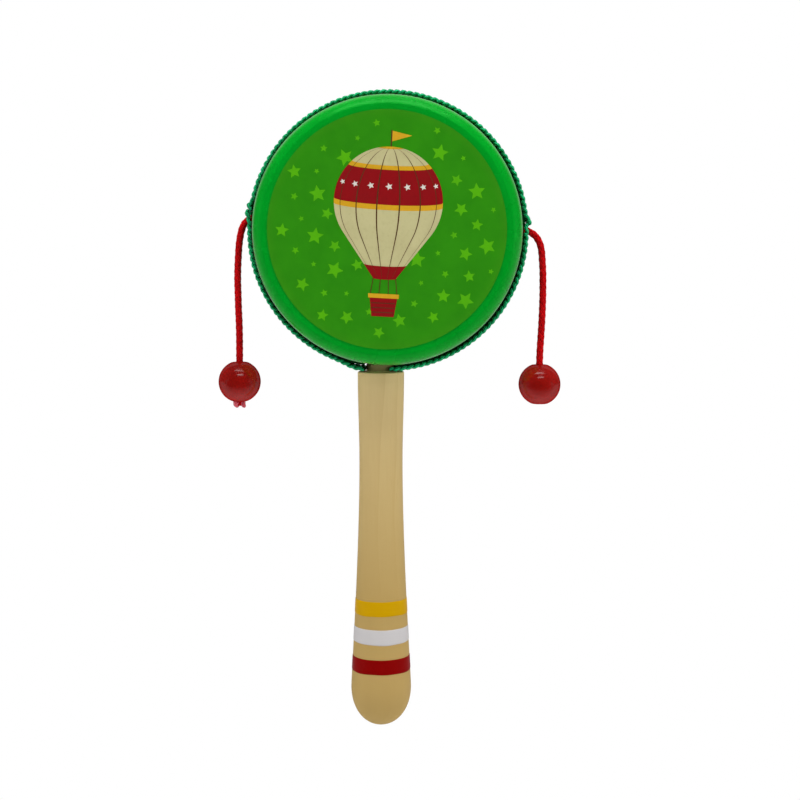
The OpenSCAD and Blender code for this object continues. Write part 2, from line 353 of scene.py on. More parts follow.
@dataclass(frozen=True)
class TurnedWood(Finish):
    """Wood that was turned, sanded and left bare or lacquered."""

    name: str
    pale: Colour
    dark: Colour
    fleck: Colour
    rings: float
    roughness: float
    # Strength and heights of the painted shade towards the handle's end.
    end_shade: float
    end_shade_from: float = 0.052
    end_shade_to: float = -0.015
    # Height above which the neck takes its painted shade.
    neck_shade_from: float = 1.0

    def dress(self, sheet: NodeSheet, shader: Node) -> None:
        """Joins the grain, the turning marks, painted shade that darkens the wood towards its end, and
        painted shade round the neck.
        """
        at = self.place(sheet)
        grain = self.use(sheet, wood_grain, {"Vector": at, "Rings": self.rings})
        marks = self.use(sheet, handling, {"Vector": at})
        tint = sheet.blend(sheet.times(grain["Shade"], 0.8), self.pale, self.dark)
        spotted = sheet.blend(sheet.times(grain["Fleck"], 0.35), tint, self.fleck)
        smudged = sheet.blend(sheet.times(marks["Smudge"], 0.10), spotted, self.dark)
        height = sheet.part(at, 2)
        # Painted shade: the wood turns darker and more amber towards the handle's end.
        held = sheet.spread(height, self.end_shade_from, self.end_shade_to, 0.0, self.end_shade)
        end_shaded = sheet.blend(held, smudged, END_SHADE_TINT)
        # Painted shade: the neck above the handle's top turns green-brown, as shadow under the drum.
        neck_shaded = sheet.spread(height, self.neck_shade_from, self.neck_shade_from + 0.0003, 0.0, 0.85)
        # The base colour carries both painted shades, towards the end and round the neck.
        worn = sheet.blend(neck_shaded, end_shaded, NECK_SHADE)
        lathe = sheet.cloud(sheet.stretched(at, (0.04, 0.04, 1)), 2600, 2)
        fine = sheet.bump(grain["Relief"], 0.32, 0.00006)
        turned = sheet.bump(lathe, 0.22, 0.00004, fine)
        dull = sheet.plus(self.roughness, sheet.times(marks["Smudge"], 0.14))
        rough = sheet.plus(dull, sheet.times(grain["Shade"], 0.08))
        self.set(sheet, shader, Base_Color=worn, Roughness=rough, Normal=turned, Specular_IOR_Level=0.06)


@dataclass(frozen=True)
class BandPaint(Finish):
    """Paint that was brushed round the handle on the lathe."""

    name: str
    colour: Colour
    thin: Colour
    low: float
    high: float

    def dress(self, sheet: NodeSheet, shader: Node) -> None:
        """Joins the brush rings, the grain that tells through and the thin edges."""
        at = self.place(sheet)
        grain = self.use(sheet, wood_grain, {"Vector": at, "Rings": HANDLE_RINGS})
        marks = self.use(sheet, handling, {"Vector": at})
        brush = sheet.cloud(sheet.stretched(at, (0.05, 0.05, 1)), 1900, 2)
        wander = sheet.times(sheet.sum("SUBTRACT", sheet.cloud(at, 520, 2), 0.5), 0.0009)
        moved = sheet.plus(sheet.part(at, 2), wander)
        rim = 0.28 * MM
        edge = sheet.sum(
            "MAXIMUM",
            sheet.spread(moved, self.low + rim, self.low),
            sheet.spread(moved, self.high - rim, self.high),
        )
        tone = sheet.times(sheet.plus(brush, grain["Shade"]), 0.22)
        streaked = sheet.blend(tone, self.colour, self.thin)
        faded = sheet.blend(sheet.times(edge, 0.45), streaked, self.thin)
        fibres = sheet.times(grain["Relief"], 0.4)
        relief = sheet.plus(sheet.times(brush, 0.6), fibres)
        rough = sheet.plus(0.38, sheet.times(marks["Smudge"], 0.16))
        self.set(sheet, shader, Base_Color=faded, Roughness=rough, Normal=sheet.bump(relief, 0.3, 0.00005))
        self.set(sheet, shader, Specular_IOR_Level=0.04)


@dataclass(frozen=True)
class HeadVinyl(Finish):
    """The glossy skin of a head, stretched over the drum's shoulder."""

    name: str
    colour: Colour
    deep: Colour
    gloss: Colour

    def dress(self, sheet: NodeSheet, shader: Node) -> None:
        """Joins the skin's mottling, its waviness and the marks of use."""
        at = self.place(sheet)
        marks = self.use(sheet, handling, {"Vector": at})
        mottle = sheet.cloud(at, 90, 3)
        tint = sheet.blend(sheet.spread(mottle, 0.3, 0.7), self.colour, self.deep)
        pebble = sheet.cloud(at, 2300, 2)
        pull = sheet.cloud(sheet.stretched(at, (1, 0.25, 1)), 300, 2)
        fine = sheet.bump(pebble, 0.12, 0.00003)
        wavy = sheet.bump(sheet.plus(pull, marks["Ripple"]), 0.12, 0.00012, fine)
        rough = sheet.plus(0.24, sheet.times(marks["Smudge"], 0.08))
        scuffed = sheet.plus(rough, sheet.times(marks["Scuff"], 0.2), clamp=True)
        self.set(sheet, shader, Base_Color=tint, Roughness=scuffed, Normal=wavy)
        self.set(sheet, shader, Specular_IOR_Level=0.55, Specular_Tint=self.gloss)


@dataclass(frozen=True)
class PrintGround(Finish):
    """The printed ground of a head's disc, a shade warmer towards its edge."""

    name: str
    colour: Colour
    deep: Colour
    edge: Colour
    centre: Vector
    radius: float

    def dress(self, sheet: NodeSheet, shader: Node) -> None:
        """Joins the ground's mottling, its warm edge and its fine woven tooth."""
        at = self.place(sheet)
        marks = self.use(sheet, handling, {"Vector": at})
        mottle = sheet.cloud(at, 150, 4, 0.6)
        tint = sheet.blend(sheet.spread(mottle, 0.35, 0.65), self.colour, self.deep)
        local = sheet.stretched(at, (1, 0, 1), (-self.centre.x, 0, -self.centre.z))
        out = sheet.put("ShaderNodeVectorMath", {0: local}, operation="LENGTH").outputs["Value"]
        warm = sheet.spread(out, self.radius * 0.93, self.radius)
        toned = sheet.blend(sheet.times(warm, 0.25), tint, self.edge)
        grain = sheet.cloud(at, 3600, 2, 0.7)
        speckled = sheet.blend(sheet.spread(grain, 0.52, 0.75, 0.0, 0.22), toned, self.deep)
        tooth = print_tooth(sheet, at)
        rough = sheet.plus(0.42, sheet.times(marks["Smudge"], 0.12))
        self.set(sheet, shader, Base_Color=speckled, Roughness=rough, Normal=sheet.bump(tooth, 0.1, 0.00003))
        self.set(sheet, shader, Specular_IOR_Level=0.05)


def print_tooth(sheet: NodeSheet, at: Socket) -> Socket:
    """Builds the fine crossed tooth of the printed film.

    Args:
        sheet: The sheet to build on.
        at: The coordinate on the piece.

    Returns:
        The height of the tooth.
    """
    threads = 2100.0
    place = sheet.put("ShaderNodeSeparateXYZ", {0: at}).outputs
    lines = [sheet.sum("SINE", sheet.times(place[axis], threads * math.pi)) for axis in (0, 2)]
    weave = sheet.times(sheet.times(*lines), 0.4)
    return sheet.plus(weave, sheet.times(sheet.cloud(at, 1900, 2), 1.2))


@dataclass(frozen=True)
class PrintInk(Finish):
    """One ink of the print, with the film's tooth showing through it."""

    name: str
    colour: Colour
    worn: Colour

    def dress(self, sheet: NodeSheet, shader: Node) -> None:
        """Joins the ink's uneven cover and its tooth."""
        at = self.place(sheet)
        cover = sheet.cloud(at, 1100, 3, 0.65)
        broad = sheet.cloud(at, 160, 2)
        faded = sheet.spread(broad, 0.4, 0.7, 0.0, 0.25)
        share = sheet.plus(sheet.spread(cover, 0.5, 0.8, 0.0, 0.4), faded)
        tint = sheet.blend(share, self.colour, self.worn)
        rough = sheet.spread(broad, 0.3, 0.7, 0.34, 0.48)
        self.set(sheet, shader, Base_Color=tint, Roughness=rough, Specular_IOR_Level=0.1)
        self.set(sheet, shader, Normal=sheet.bump(print_tooth(sheet, at), 0.1, 0.00003))


@dataclass(frozen=True)
class Yarn(Finish):
    """Plied synthetic yarn, read off the UV map of its strands."""

    name: str
    lit: Colour
    hollow_shade_and_dye: Colour
    filaments: float
    twist: float
    roughness: float
    sheen: float

    def dress(self, sheet: NodeSheet, shader: Node) -> None:
        """Joins the filaments, painted shade in their hollows mixed with the dye's unevenness, and the sheen.
        """
        uv = sheet.put("ShaderNodeUVMap", uv_map=STRAND_UV).outputs[0]
        lay = self.use(sheet, yarn_lay, {"UV": uv, "Filaments": self.filaments, "Twist": self.twist})
        dye = sheet.cloud(self.place(sheet), 300, 3)
        uneven = sheet.spread(dye, 0.35, 0.75, 0.0, 0.35)
        # Painted shade in the hollows between filaments, mixed with the dye's real unevenness.
        depth = sheet.plus(sheet.times(lay["Valley"], 0.7), uneven)
        tint = sheet.blend(sheet.times(depth, 1.0, clamp=True), self.lit, self.hollow_shade_and_dye)
        ridges = sheet.bump(lay["Filament"], 0.55, 0.00009)
        fuzzy = sheet.bump(lay["Fuzz"], 0.3, 0.00005, ridges)
        rough = sheet.plus(self.roughness, sheet.times(lay["Fuzz"], 0.2))
        self.set(sheet, shader, Base_Color=tint, Roughness=rough, Normal=fuzzy)
        self.set(sheet, shader, Sheen_Weight=self.sheen, Sheen_Roughness=0.4, Specular_IOR_Level=0.06)


@dataclass(frozen=True)
class MeltedEnd(Finish):
    """The end of a cord where a flame has fused its yarns."""

    name: str
    colour: Colour
    pale: Colour

    def dress(self, sheet: NodeSheet, shader: Node) -> None:
        """Joins the fused drops' uneven colour and skin."""
        at = self.place(sheet)
        blots = sheet.cloud(at, 1300, 3)
        tint = sheet.blend(sheet.spread(blots, 0.35, 0.65), self.colour, self.pale)
        self.set(sheet, shader, Base_Color=tint, Roughness=sheet.spread(blots, 0.2, 0.8, 0.22, 0.42))
        self.set(sheet, shader, Normal=sheet.bump(blots, 0.5, 0.0002), Subsurface_Weight=0.15)
        self.set(sheet, shader, Subsurface_Scale=0.0006, Coat_Weight=0.7, Coat_Roughness=0.1)


@dataclass(frozen=True)
class BeadLacquer(Finish):
    """The dipped lacquer of a bead, over turned wood."""

    name: str
    colour: Colour
    deep: Colour
    warm: Colour
    # The lighter red below the belt, painted light from beneath.
    thin: Colour
    belt: float

    def dress(self, sheet: NodeSheet, shader: Node) -> None:
        """Joins the lacquer's depth, lighter below the belt as painted light from below, the grain and the
        marks of play.
        """
        at = self.place(sheet)
        grain = self.use(sheet, wood_grain, {"Vector": at, "Rings": 420.0})
        marks = self.use(sheet, handling, {"Vector": at})
        runs = sheet.cloud(sheet.stretched(at, (1, 1, 0.4)), 210, 2)
        tint = sheet.blend(sheet.spread(runs, 0.35, 0.68), self.colour, self.deep)
        # Painted light: the lacquer turns lighter and redder below the belt, as if lit from beneath.
        below = sheet.spread(sheet.part(at, 2), self.belt, self.belt - 5 * MM, 0.0, 0.9)
        thin = sheet.blend(below, tint, self.thin)
        warmed = sheet.blend(sheet.times(grain["Shade"], 0.3), thin, self.warm)
        peel = sheet.bump(marks["Ripple"], 0.3, 0.00016)
        told = sheet.bump(grain["Relief"], 0.12, 0.00005, peel)
        rough = sheet.plus(0.3, sheet.times(marks["Smudge"], 0.12))
        scuffed = sheet.times(marks["Scuff"], 0.3)
        dulled = sheet.plus(sheet.times(marks["Smudge"], 0.08), scuffed)
        turned_away = sheet.put("ShaderNodeLayerWeight").outputs["Facing"]
        facing = sheet.spread(turned_away, 0.3, 0.7, 1.0, 0.0)
        gloss = sheet.times(facing, sheet.sum("SUBTRACT", 0.95, dulled, clamp=True))
        self.set(sheet, shader, Base_Color=warmed, Roughness=rough, Normal=told, Specular_IOR_Level=0.0)
        self.set(sheet, shader, Coat_Weight=gloss, Coat_Roughness=0.14)


STRAND_UV = "strand"

# Tint of the painted shade towards the handle's end.
END_SHADE_TINT = screen(168, 140, 83)
# Colour of the painted shade round the neck, under the drum.
NECK_SHADE = screen(106, 104, 62)
HANDLE_RINGS = 210.0
HOOP_WOOD = TurnedWood(
    name="bare hoop wood",
    pale=screen(214, 190, 150),
    dark=screen(180, 148, 104),
    fleck=screen(120, 84, 50),
    rings=260.0,
    roughness=0.6,
    end_shade=0.0,
)
HANDLE_WOOD = TurnedWood(
    name="lacquered handle wood",
    pale=screen(208, 186, 135),
    dark=screen(181, 155, 103),
    fleck=screen(140, 106, 62),
    rings=HANDLE_RINGS,
    roughness=0.45,
    end_shade=0.93,
    neck_shade_from=56.3 * MM,
)
VINYL = HeadVinyl("green head vinyl", screen(0, 143, 32), screen(0, 136, 29), (0.12, 1.0, 0.2, 1.0))
# Each yarn's second colour is painted shade in its hollows, with the dye's unevenness.
TRIM_YARN = Yarn("teal braid yarn", screen(26, 166, 106), screen(0, 60, 26), 9.0, 0.55, 0.5, 0.05)
# Dark yarn for painted shade: the strips under the braid and its cut ends by the neck.
TRIM_SHADE_YARN = Yarn("shaded braid yarn", screen(4, 46, 16), screen(0, 24, 6), 9.0, 0.55, 0.6, 0.0)
CORD_YARN = Yarn("red cord yarn", screen(190, 4, 9), screen(100, 0, 1), 7.0, 0.0, 0.42, 0.0)
# The cord's core is dark: painted shade in the hollows between the yarns.
CORD_SHADED_CORE = Yarn("shaded cord yarn", screen(72, 0, 2), screen(48, 0, 0), 7.0, 0.0, 0.6, 0.0)
MELTED = MeltedEnd("fused cord end", screen(172, 30, 50), screen(208, 88, 104))
LACQUER = BeadLacquer(
    name="red bead lacquer",
    colour=screen(134, 11, 8),
    deep=screen(118, 8, 6),
    warm=screen(120, 24, 11),
    # thin is the lighter red of the painted light below the belt.
    thin=screen(154, 19, 15),
    belt=52.6 * MM,
)
INKS = {
    "star": PrintInk("light green ink", screen(78, 163, 9), screen(64, 150, 12)),
    "cream": PrintInk("cream ink", screen(180, 174, 128), screen(160, 152, 108)),
    "red": PrintInk("dark red ink", screen(132, 12, 18), screen(108, 14, 16)),
    "ochre": PrintInk("ochre ink", screen(196, 150, 30), screen(168, 128, 28)),
    "white": PrintInk("white ink", screen(206, 200, 190), screen(186, 178, 164)),
    "line": PrintInk("brown line ink", screen(74, 44, 24), screen(96, 62, 34)),
}


def deselect() -> None:
    """Leaves edit mode and deselects every object."""
    if bpy.context.mode != "OBJECT":
        bpy.ops.object.mode_set(mode="OBJECT")
    bpy.ops.object.select_all(action="DESELECT")


def pick(*pieces: Piece) -> None:
    """Selects the given objects alone and makes the first one active."""
    deselect()
    for piece in pieces:
        piece.select_set(True)
    bpy.context.view_layer.objects.active = pieces[0]


def new_piece(name: str) -> Piece:
    """Names the object that an operator has just added, and returns it."""
    piece = bpy.context.active_object
    piece.name = name
    piece.data.name = name
    return piece


def choose(piece: Piece, kind: str, test: Callable[[Any], bool]) -> None:
    """Selects vertices, edges or faces of a piece by a test, and opens edit mode.

    Args:
        piece: The mesh object.
        kind: VERT, EDGE or FACE.
        test: Says which of them are chosen.
    """
    pick(piece)
    bpy.ops.object.mode_set(mode="EDIT")
    bpy.ops.mesh.select_mode(type=kind)
    bpy.ops.mesh.select_all(action="DESELECT")
    bpy.ops.object.mode_set(mode="OBJECT")
    mesh = piece.data
    for part in {"VERT": mesh.vertices, "EDGE": mesh.edges, "FACE": mesh.polygons}[kind]:
        part.select = test(part)
    bpy.ops.object.mode_set(mode="EDIT")


def finish_with(piece: Piece, kind: str, **settings: Any) -> None:
    """Adds a modifier, sets it and applies it."""
    pick(piece)
    modifier = piece.modifiers.new(kind.lower(), kind)
    for name, value in settings.items():
        setattr(modifier, name, value)
    bpy.ops.object.modifier_apply(modifier=modifier.name)


def tidy_mesh(piece: Piece, merge: float = 1e-7) -> None:
    """Merges a piece's doubles and turns its faces outwards."""
    pick(piece)
    bpy.ops.object.mode_set(mode="EDIT")
    bpy.ops.mesh.select_all(action="SELECT")
    bpy.ops.mesh.remove_doubles(threshold=merge)
    bpy.ops.mesh.normals_make_consistent(inside=False)
    bpy.ops.object.mode_set(mode="OBJECT")


def smooth(piece: Piece, degrees: float = 35.0) -> None:
    """Shades a piece smooth but for its sharp edges."""
    pick(piece)
    bpy.ops.object.shade_smooth_by_angle(angle=math.radians(degrees))


def settle(piece: Piece) -> None:
    """Puts a piece's place, turn and scale into its mesh."""
    pick(piece)
    bpy.ops.object.transform_apply(location=True, rotation=True, scale=True)


def lay_in(piece: Piece, place: Matrix) -> None:
    """Moves a piece's mesh by a matrix, with its faces kept outwards."""
    piece.data.transform(place)
    if place.determinant() < 0:
        piece.data.flip_normals()
    piece.data.update()


def join_all(name: str, pieces: Sequence[Piece]) -> Piece:
    """Joins pieces into one and names it."""
    pick(*pieces)
    bpy.ops.object.join()
    return new_piece(name)


def spun_profile(name: str, outline: Outline, steps: int) -> Piece:
    """Turns an outline about Z, as on a lathe.

    Args:
        name: The piece's name.
        outline: The outline as radius and height. It ends on the axis, or its maker closes it.
        steps: How many steps the turn has.

    Returns:
        The turned piece, with its doubles merged and its faces outwards.
    """
    deselect()
    bpy.ops.mesh.primitive_plane_add(size=MM)
    piece = new_piece(name)
    mesh = piece.data
    mesh.clear_geometry()
    mesh.from_pydata([(r, 0, z) for r, z in outline], [(i, i + 1) for i in range(len(outline) - 1)], [])
    choose(piece, "VERT", lambda vertex: True)
    bpy.ops.mesh.spin(steps=steps, angle=TURN, center=(0, 0, 0), axis=(0, 0, 1))
    bpy.ops.object.mode_set(mode="OBJECT")
    tidy_mesh(piece)
    return piece


def hand_over(
    piece: Piece, body: str, finish: Finish | None, replaces: Sequence[str] = ()
) -> None:
    """Gives a finished piece its material and its body, and reports it.

    Args:
        piece: The piece.
        body: The body that it rides on.
        finish: Its finish, or None where its materials are already set.
        replaces: The nodes that it stands for.
    """
    if finish is not None:
        piece.data.materials.clear()
        piece.data.materials.append(finish.material())
    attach(piece, body)
    if replaces:
        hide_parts(*replaces)
    log.info("%s rides on %s: %d faces", piece.name, body, len(piece.data.polygons))


def dress_node(node: str, finish: Finish) -> None:
    """Gives a node of the frame its material."""
    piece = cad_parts[node]
    piece.data.materials.clear()
    piece.data.materials.append(finish.material())
    log.info("%s keeps its own shape", node)


@dataclass
class Strand:
    """One yarn as it lies: the points of its line, the way it faces there, and its section.

    The roundness is 1 for an oval section and runs down to 0 for a box. The slot is the material's number.
    """

    points: np.ndarray
    facing: np.ndarray
    width: np.ndarray
    depth: np.ndarray
    sides: int = 8
    roundness: float = 1.0
    slot: int = 0

    def section(self) -> tuple[np.ndarray, np.ndarray]:
        """The section's corners, as shares of its half width and half depth."""
        angles = np.arange(self.sides) * TURN / self.sides
        waves = (np.cos(angles), np.sin(angles))
        wide, deep = (np.sign(wave) * np.abs(wave) ** self.roundness for wave in waves)
        return wide, deep

    def rings(self) -> tuple[np.ndarray, np.ndarray]:
        """Works out the strand's surface.

        Returns:
            The vertices, ring by ring, and the UV place of each, with V in millimetres along the strand.
        """
        along = np.gradient(self.points, axis=0)
        along /= np.linalg.norm(along, axis=1, keepdims=True)
        across = np.cross(along, self.facing)
        across /= np.linalg.norm(across, axis=1, keepdims=True)
        out = np.cross(across, along)
        wide, deep = self.section()
        ring = (
            across[:, None, :] * (wide[None, :, None] * self.width[:, None, None] / 2)
            + out[:, None, :] * (deep[None, :, None] * self.depth[:, None, None] / 2)
        )
        steps = np.linalg.norm(np.diff(self.points, axis=0), axis=1)
        far = np.concatenate([[0.0], np.cumsum(steps)]) / MM
        uv = np.stack(np.broadcast_arrays(np.arange(self.sides)[None, :] / self.sides, far[:, None]), axis=-1)
        return (self.points[:, None, :] + ring).reshape(-1, 3), uv.reshape(-1, 2)


def woven(name: str, strands: Sequence[Strand]) -> Piece:
    """Makes one mesh of many strands, each a closed tube with a UV map along it.

    Args:
        name: The piece's name.
        strands: The strands.

    Returns:
        The piece.
    """
    vertices: list[np.ndarray] = []
    faces: list[list[int]] = []
    uvs: list[np.ndarray] = []
    slots: list[int] = []
    start = 0
    for strand in strands:
        points, place = strand.rings()
        n = strand.sides
        last = len(strand.points) - 1
        vertices.append(points)
        for j in range(last):
            for k in range(n):
                m = (k + 1) % n
                low, high = start + j * n, start + (j + 1) * n
                faces.append([low + k, low + m, high + m, high + k])
                uvs.append(corner_uv(place, j, k, n))
        faces.append([start + k for k in reversed(range(n))])
        uvs.append(place[list(reversed(range(n)))])
        faces.append([start + last * n + k for k in range(n)])
        uvs.append(place[[last * n + k for k in range(n)]])
        slots += [strand.slot] * (last * n + 2)
        start += len(points)
    mesh = bpy.data.meshes.new(name)
    mesh.from_pydata(np.concatenate(vertices).tolist(), [], faces)
    mesh.polygons.foreach_set("material_index", slots)
    layer = mesh.uv_layers.new(name=STRAND_UV)
    layer.data.foreach_set("uv", np.concatenate(uvs).ravel())
    piece = bpy.data.objects.new(name, mesh)
    bpy.context.scene.collection.objects.link(piece)
    smooth(piece, 60)
    return piece


def corner_uv(place: np.ndarray, ring: int, side: int, sides: int) -> np.ndarray:
    """Gives the UV corners of one face of a strand, with U running on to 1 past the seam."""
    low, high = ring * sides + side, (ring + 1) * sides + side
    corners = place[[low, low, high, high]].copy()
    corners[1:3, 0] = (side + 1) / sides
    return corners


def smooth_line(points: Sequence[Sequence[float]], step: float) -> np.ndarray:
    """Draws one smooth curve through points, with a point about every step along it.

    Args:
        points: The points that the curve goes through.
        step: The distance between the points of the result.

    Returns:
        The points of the curve.
    """
    knots = np.array(points, float)
    gaps = np.linalg.norm(np.diff(knots, axis=0), axis=1)
    at = np.concatenate([[0], np.cumsum(gaps)])
    slopes = np.gradient(knots, at, axis=0)
    fine = np.linspace(0, at[-1], int(at[-1] / step) + 1)
    part = np.clip(np.searchsorted(at, fine, side="right") - 1, 0, len(gaps) - 1)
    s = ((fine - at[part]) / gaps[part])[:, None]
    run = gaps[part][:, None]
    return (
        knots[part] * (2 * s**3 - 3 * s**2 + 1)
        + slopes[part] * run * (s**3 - 2 * s**2 + s)
        + knots[part + 1] * (3 * s**2 - 2 * s**3)
        + slopes[part + 1] * run * (s**3 - s**2)
    )


@dataclass
class Drum:
    """Where the leaning drum is, worked out from the frame, and its own directions."""

    lean: float = math.radians(3)
    centre: Vector = field(init=False)
    radius: float = field(init=False)
    half_depth: float = field(init=False)

    def __post_init__(self) -> None:
        """Reads the drum's place and size off its heads."""
        low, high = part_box("front_head")
        self.centre = Vector(((low.x + high.x) / 2, 0, (low.z + high.z) / 2))
        self.radius = (high.x - low.x) / 2
        self.half_depth = -low.y

    def place(self) -> Matrix:
        """The matrix that lays a shape made about the drum's centre on the leaning drum."""
        return Matrix.Translation(self.centre) @ Matrix.Rotation(self.lean, 4, "Y")

    def outward(self, angle: np.ndarray) -> np.ndarray:
        """The way out of the drum at angles in its own plane, from +X up to +Z."""
        turned = angle - self.lean
        return np.stack([np.cos(turned), np.zeros_like(turned), np.sin(turned)], axis=-1)

    def mouth(self, side: Side, rise: float) -> Vector:
        """The mouth of a cord's hole, on the drum's wall."""
        return self.place() @ Vector((side.value * self.radius, 0, rise))


@dataclass
class CordAndBead:
    """One side's cord, from the mouth of its hole through the bead to its end, with bead and knots."""

    drum: Drum
    side: Side
    rise: float
    route: Sequence[tuple[float, float]]
    end_below: float
    knuckle_drop: float = 20 * MM
    bend_reach: float = 6 * MM
    diameter: float = 2.3 * MM
    yarns_each_way: int = 4
    lay_length: float = 8.8 * MM
    yarn_depth: float = 0.4 * MM
    yarn_width: float = 1.15 * MM
    weave_depth: float = 0.12 * MM
    bead_radius: float = 6.6 * MM
    flat_radius: float = 2.3 * MM
    bore_radius: float = 1.28 * MM
    recess_radius: float = 1.95 * MM
    recess_depth: float = 2.4 * MM
    knot_radius: float = 1.8 * MM
    knot_height: float = 1.3 * MM
    knot_gap: float = 0.2 * MM
    step: float = 0.2 * MM
    flat_bevel: float = 0.35 * MM
    drop_radius: float = 1.1 * MM
    drop_length: float = 1.15
    drop_splay: float = 0.35
    drop_place: tuple[float, float, float] = (0.9 * MM, 0.2 * MM, 0.5 * MM)

    @property
    def mouth(self) -> Vector:
        """The mouth of this cord's hole."""
        return self.drum.mouth(self.side, self.rise)

    @property
    def bead_centre(self) -> Vector:
        """The bead's centre, which is the route's last point."""
        return Vector(self.point(self.route[-1]))

    @property
    def flat_up(self) -> float:
        """From the bead's centre up to its flat."""
        return math.sqrt(self.bead_radius**2 - self.flat_radius**2)

    def point(self, across_and_down: tuple[float, float]) -> tuple[float, float, float]:
        """A point of the route, given in millimetres across and up from the mouth, in the row frame."""
        across, up = across_and_down
        return (self.mouth.x + self.side.value * across * MM, 0.0, self.mouth.z + up * MM)

    def line(self) -> np.ndarray:
        """The cord's smooth centreline, from the mouth to its cut end."""
        bottom = self.bead_centre + Vector((0, 0, -self.flat_up - self.end_below))
        points = [self.point(place) for place in self.route] + [tuple(bottom)]
        return smooth_line(points, self.step)

    def braid(self, name: str, line: np.ndarray, swell: np.ndarray) -> Piece:
        """Braids yarns about a line.

        Args:
            name: The piece's name.
            line: The centreline.
            swell: How much wider than the cord each of its points is, as a factor.

        Returns:
            The braided cord over a plain core, dark as painted shade between the yarns.
        """
        along = np.gradient(line, axis=0)
        along /= np.linalg.norm(along, axis=1, keepdims=True)
        first = np.cross(along, np.array([0.0, 1.0, 0.0]))
        second = np.cross(along, first)
        far = np.concatenate([[0], np.cumsum(np.linalg.norm(np.diff(line, axis=0), axis=1))])
        turn = TURN * far / self.lay_length
        core = self.diameter / 2 - self.weave_depth - self.yarn_depth / 2
        rings = np.ones(len(line))
        # The core strand takes slot 1, the dark core yarn: painted shade between the yarns.
        strands = [Strand(line, first, rings * 2 * core * swell, rings * 2 * core * swell, 8, slot=1)]
        for way in (-1, 1):
            lift = core + way * self.weave_depth * np.cos(self.yarns_each_way * turn)
            for yarn in range(self.yarns_each_way):
                angle = way * turn + TURN * yarn / self.yarns_each_way
                out = first * np.cos(angle)[:, None] + second * np.sin(angle)[:, None]
                points = line + out * (lift * swell)[:, None]
                strands.append(Strand(points, out, rings * self.yarn_width, rings * self.yarn_depth, 6))
        piece = woven(name, strands)
        for finish in (CORD_YARN, CORD_SHADED_CORE):
            piece.data.materials.append(finish.material())
        return piece

    def cord(self) -> Piece:
        line = self.line()
        knot_top = self.bead_centre.z - self.flat_up + self.recess_depth - self.knot_gap
        share = (knot_top - line[:, 2]) / self.knot_height
        bulge = np.clip(1 - (2 * share - 1) ** 2, 0, 1) ** 0.5
        swell = 1 + bulge * (2 * self.knot_radius / self.diameter - 1)
        piece = self.braid(f"{self.side.word}_cord", line, swell)
        knuckle = Vector(self.point((0, 0))) - UP * self.knuckle_drop
        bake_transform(piece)
        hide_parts(f"{self.side.word}_cord_upper", f"{self.side.word}_cord_lower")
        log.info("%s bends between its strand and its drop: %d faces", piece.name, len(piece.data.polygons))
        return piece

    def declare(self) -> None:
        """Works out the cord's exit and its length, and keeps neither."""
        line = self.line()
        tuple(self.mouth)
        float(np.linalg.norm(np.diff(line, axis=0), axis=1).sum())

    def anchor(self) -> None:
        """Braids the stub in the hole and the knot behind it, inside the hoop."""
        low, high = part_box(f"{self.side.word}_anchor_knot")
        way = self.side.value * (self.drum.place().to_3x3() @ Vector((1, 0, 0)))
        clearance, knot_from_end, knot_half, knot_swell = 0.15 * MM, 2.6 * MM, 1.7 * MM, 1.5
        reach = (high.x - low.x) - 2 * clearance
        start = self.mouth - way * clearance
        steps = np.linspace(0, reach, int(reach / self.step))
        line = np.array(start)[None, :] - np.array(way)[None, :] * steps[:, None]
        from_knot = (steps - reach + knot_from_end) / knot_half
        bulge = np.clip(1 - from_knot**2, 0, 1) ** 0.5
        piece = self.braid(f"{self.side.word}_anchor", line, 1 + knot_swell * bulge)
        hand_over(piece, f"{self.side.word}_strand", None, [f"{self.side.word}_anchor_knot"])

    def bead(self) -> Piece:
        """Turns the bead: a ball with a flat at each end, a bore and a recess for the knot."""
        up = self.flat_up
        lip = 0.25 * MM
        start = math.asin(self.flat_radius / self.bead_radius)
        curve = [start + (math.pi - 2 * start) * i / 40 for i in range(41)]
        outline = [(self.bore_radius, -up + self.recess_depth), (self.bore_radius, up - lip)]
        outline += [(self.bore_radius + lip * 0.3, up - lip * 0.3), (self.bore_radius + lip, up)]
        outline += [(self.bead_radius * math.sin(a), self.bead_radius * math.cos(a)) for a in curve]
        outline += [(self.recess_radius + lip * 0.5, -up), (self.recess_radius, -up + lip * 0.5)]
        outline += [(radius, -up + self.recess_depth) for radius in (self.recess_radius, self.bore_radius)]
        piece = spun_profile(f"{self.side.word}_bead_lacquered", outline, 96)
        choose(piece, "EDGE", lambda edge: self.is_flat_rim(piece, edge))
        bpy.ops.mesh.bevel(offset=self.flat_bevel, segments=3, affect="EDGES")
        bpy.ops.object.mode_set(mode="OBJECT")
        smooth(piece, 40)
        lay_in(piece, Matrix.Translation(self.bead_centre))
        hand_over(piece, f"{self.side.word}_bead", LACQUER, [f"{self.side.word}_bead"])
        return piece

    def is_flat_rim(self, piece: Piece, edge: bpy.types.MeshEdge) -> bool:
        """Says whether an edge of the bead lies round one of its flats."""
        ends = [piece.data.vertices[i].co for i in edge.vertices]
        off = [abs(math.hypot(end.x, end.y) - self.flat_radius) for end in ends]
        off += [abs(abs(end.z) - self.flat_up) for end in ends]
        return max(off) < 0.01 * MM

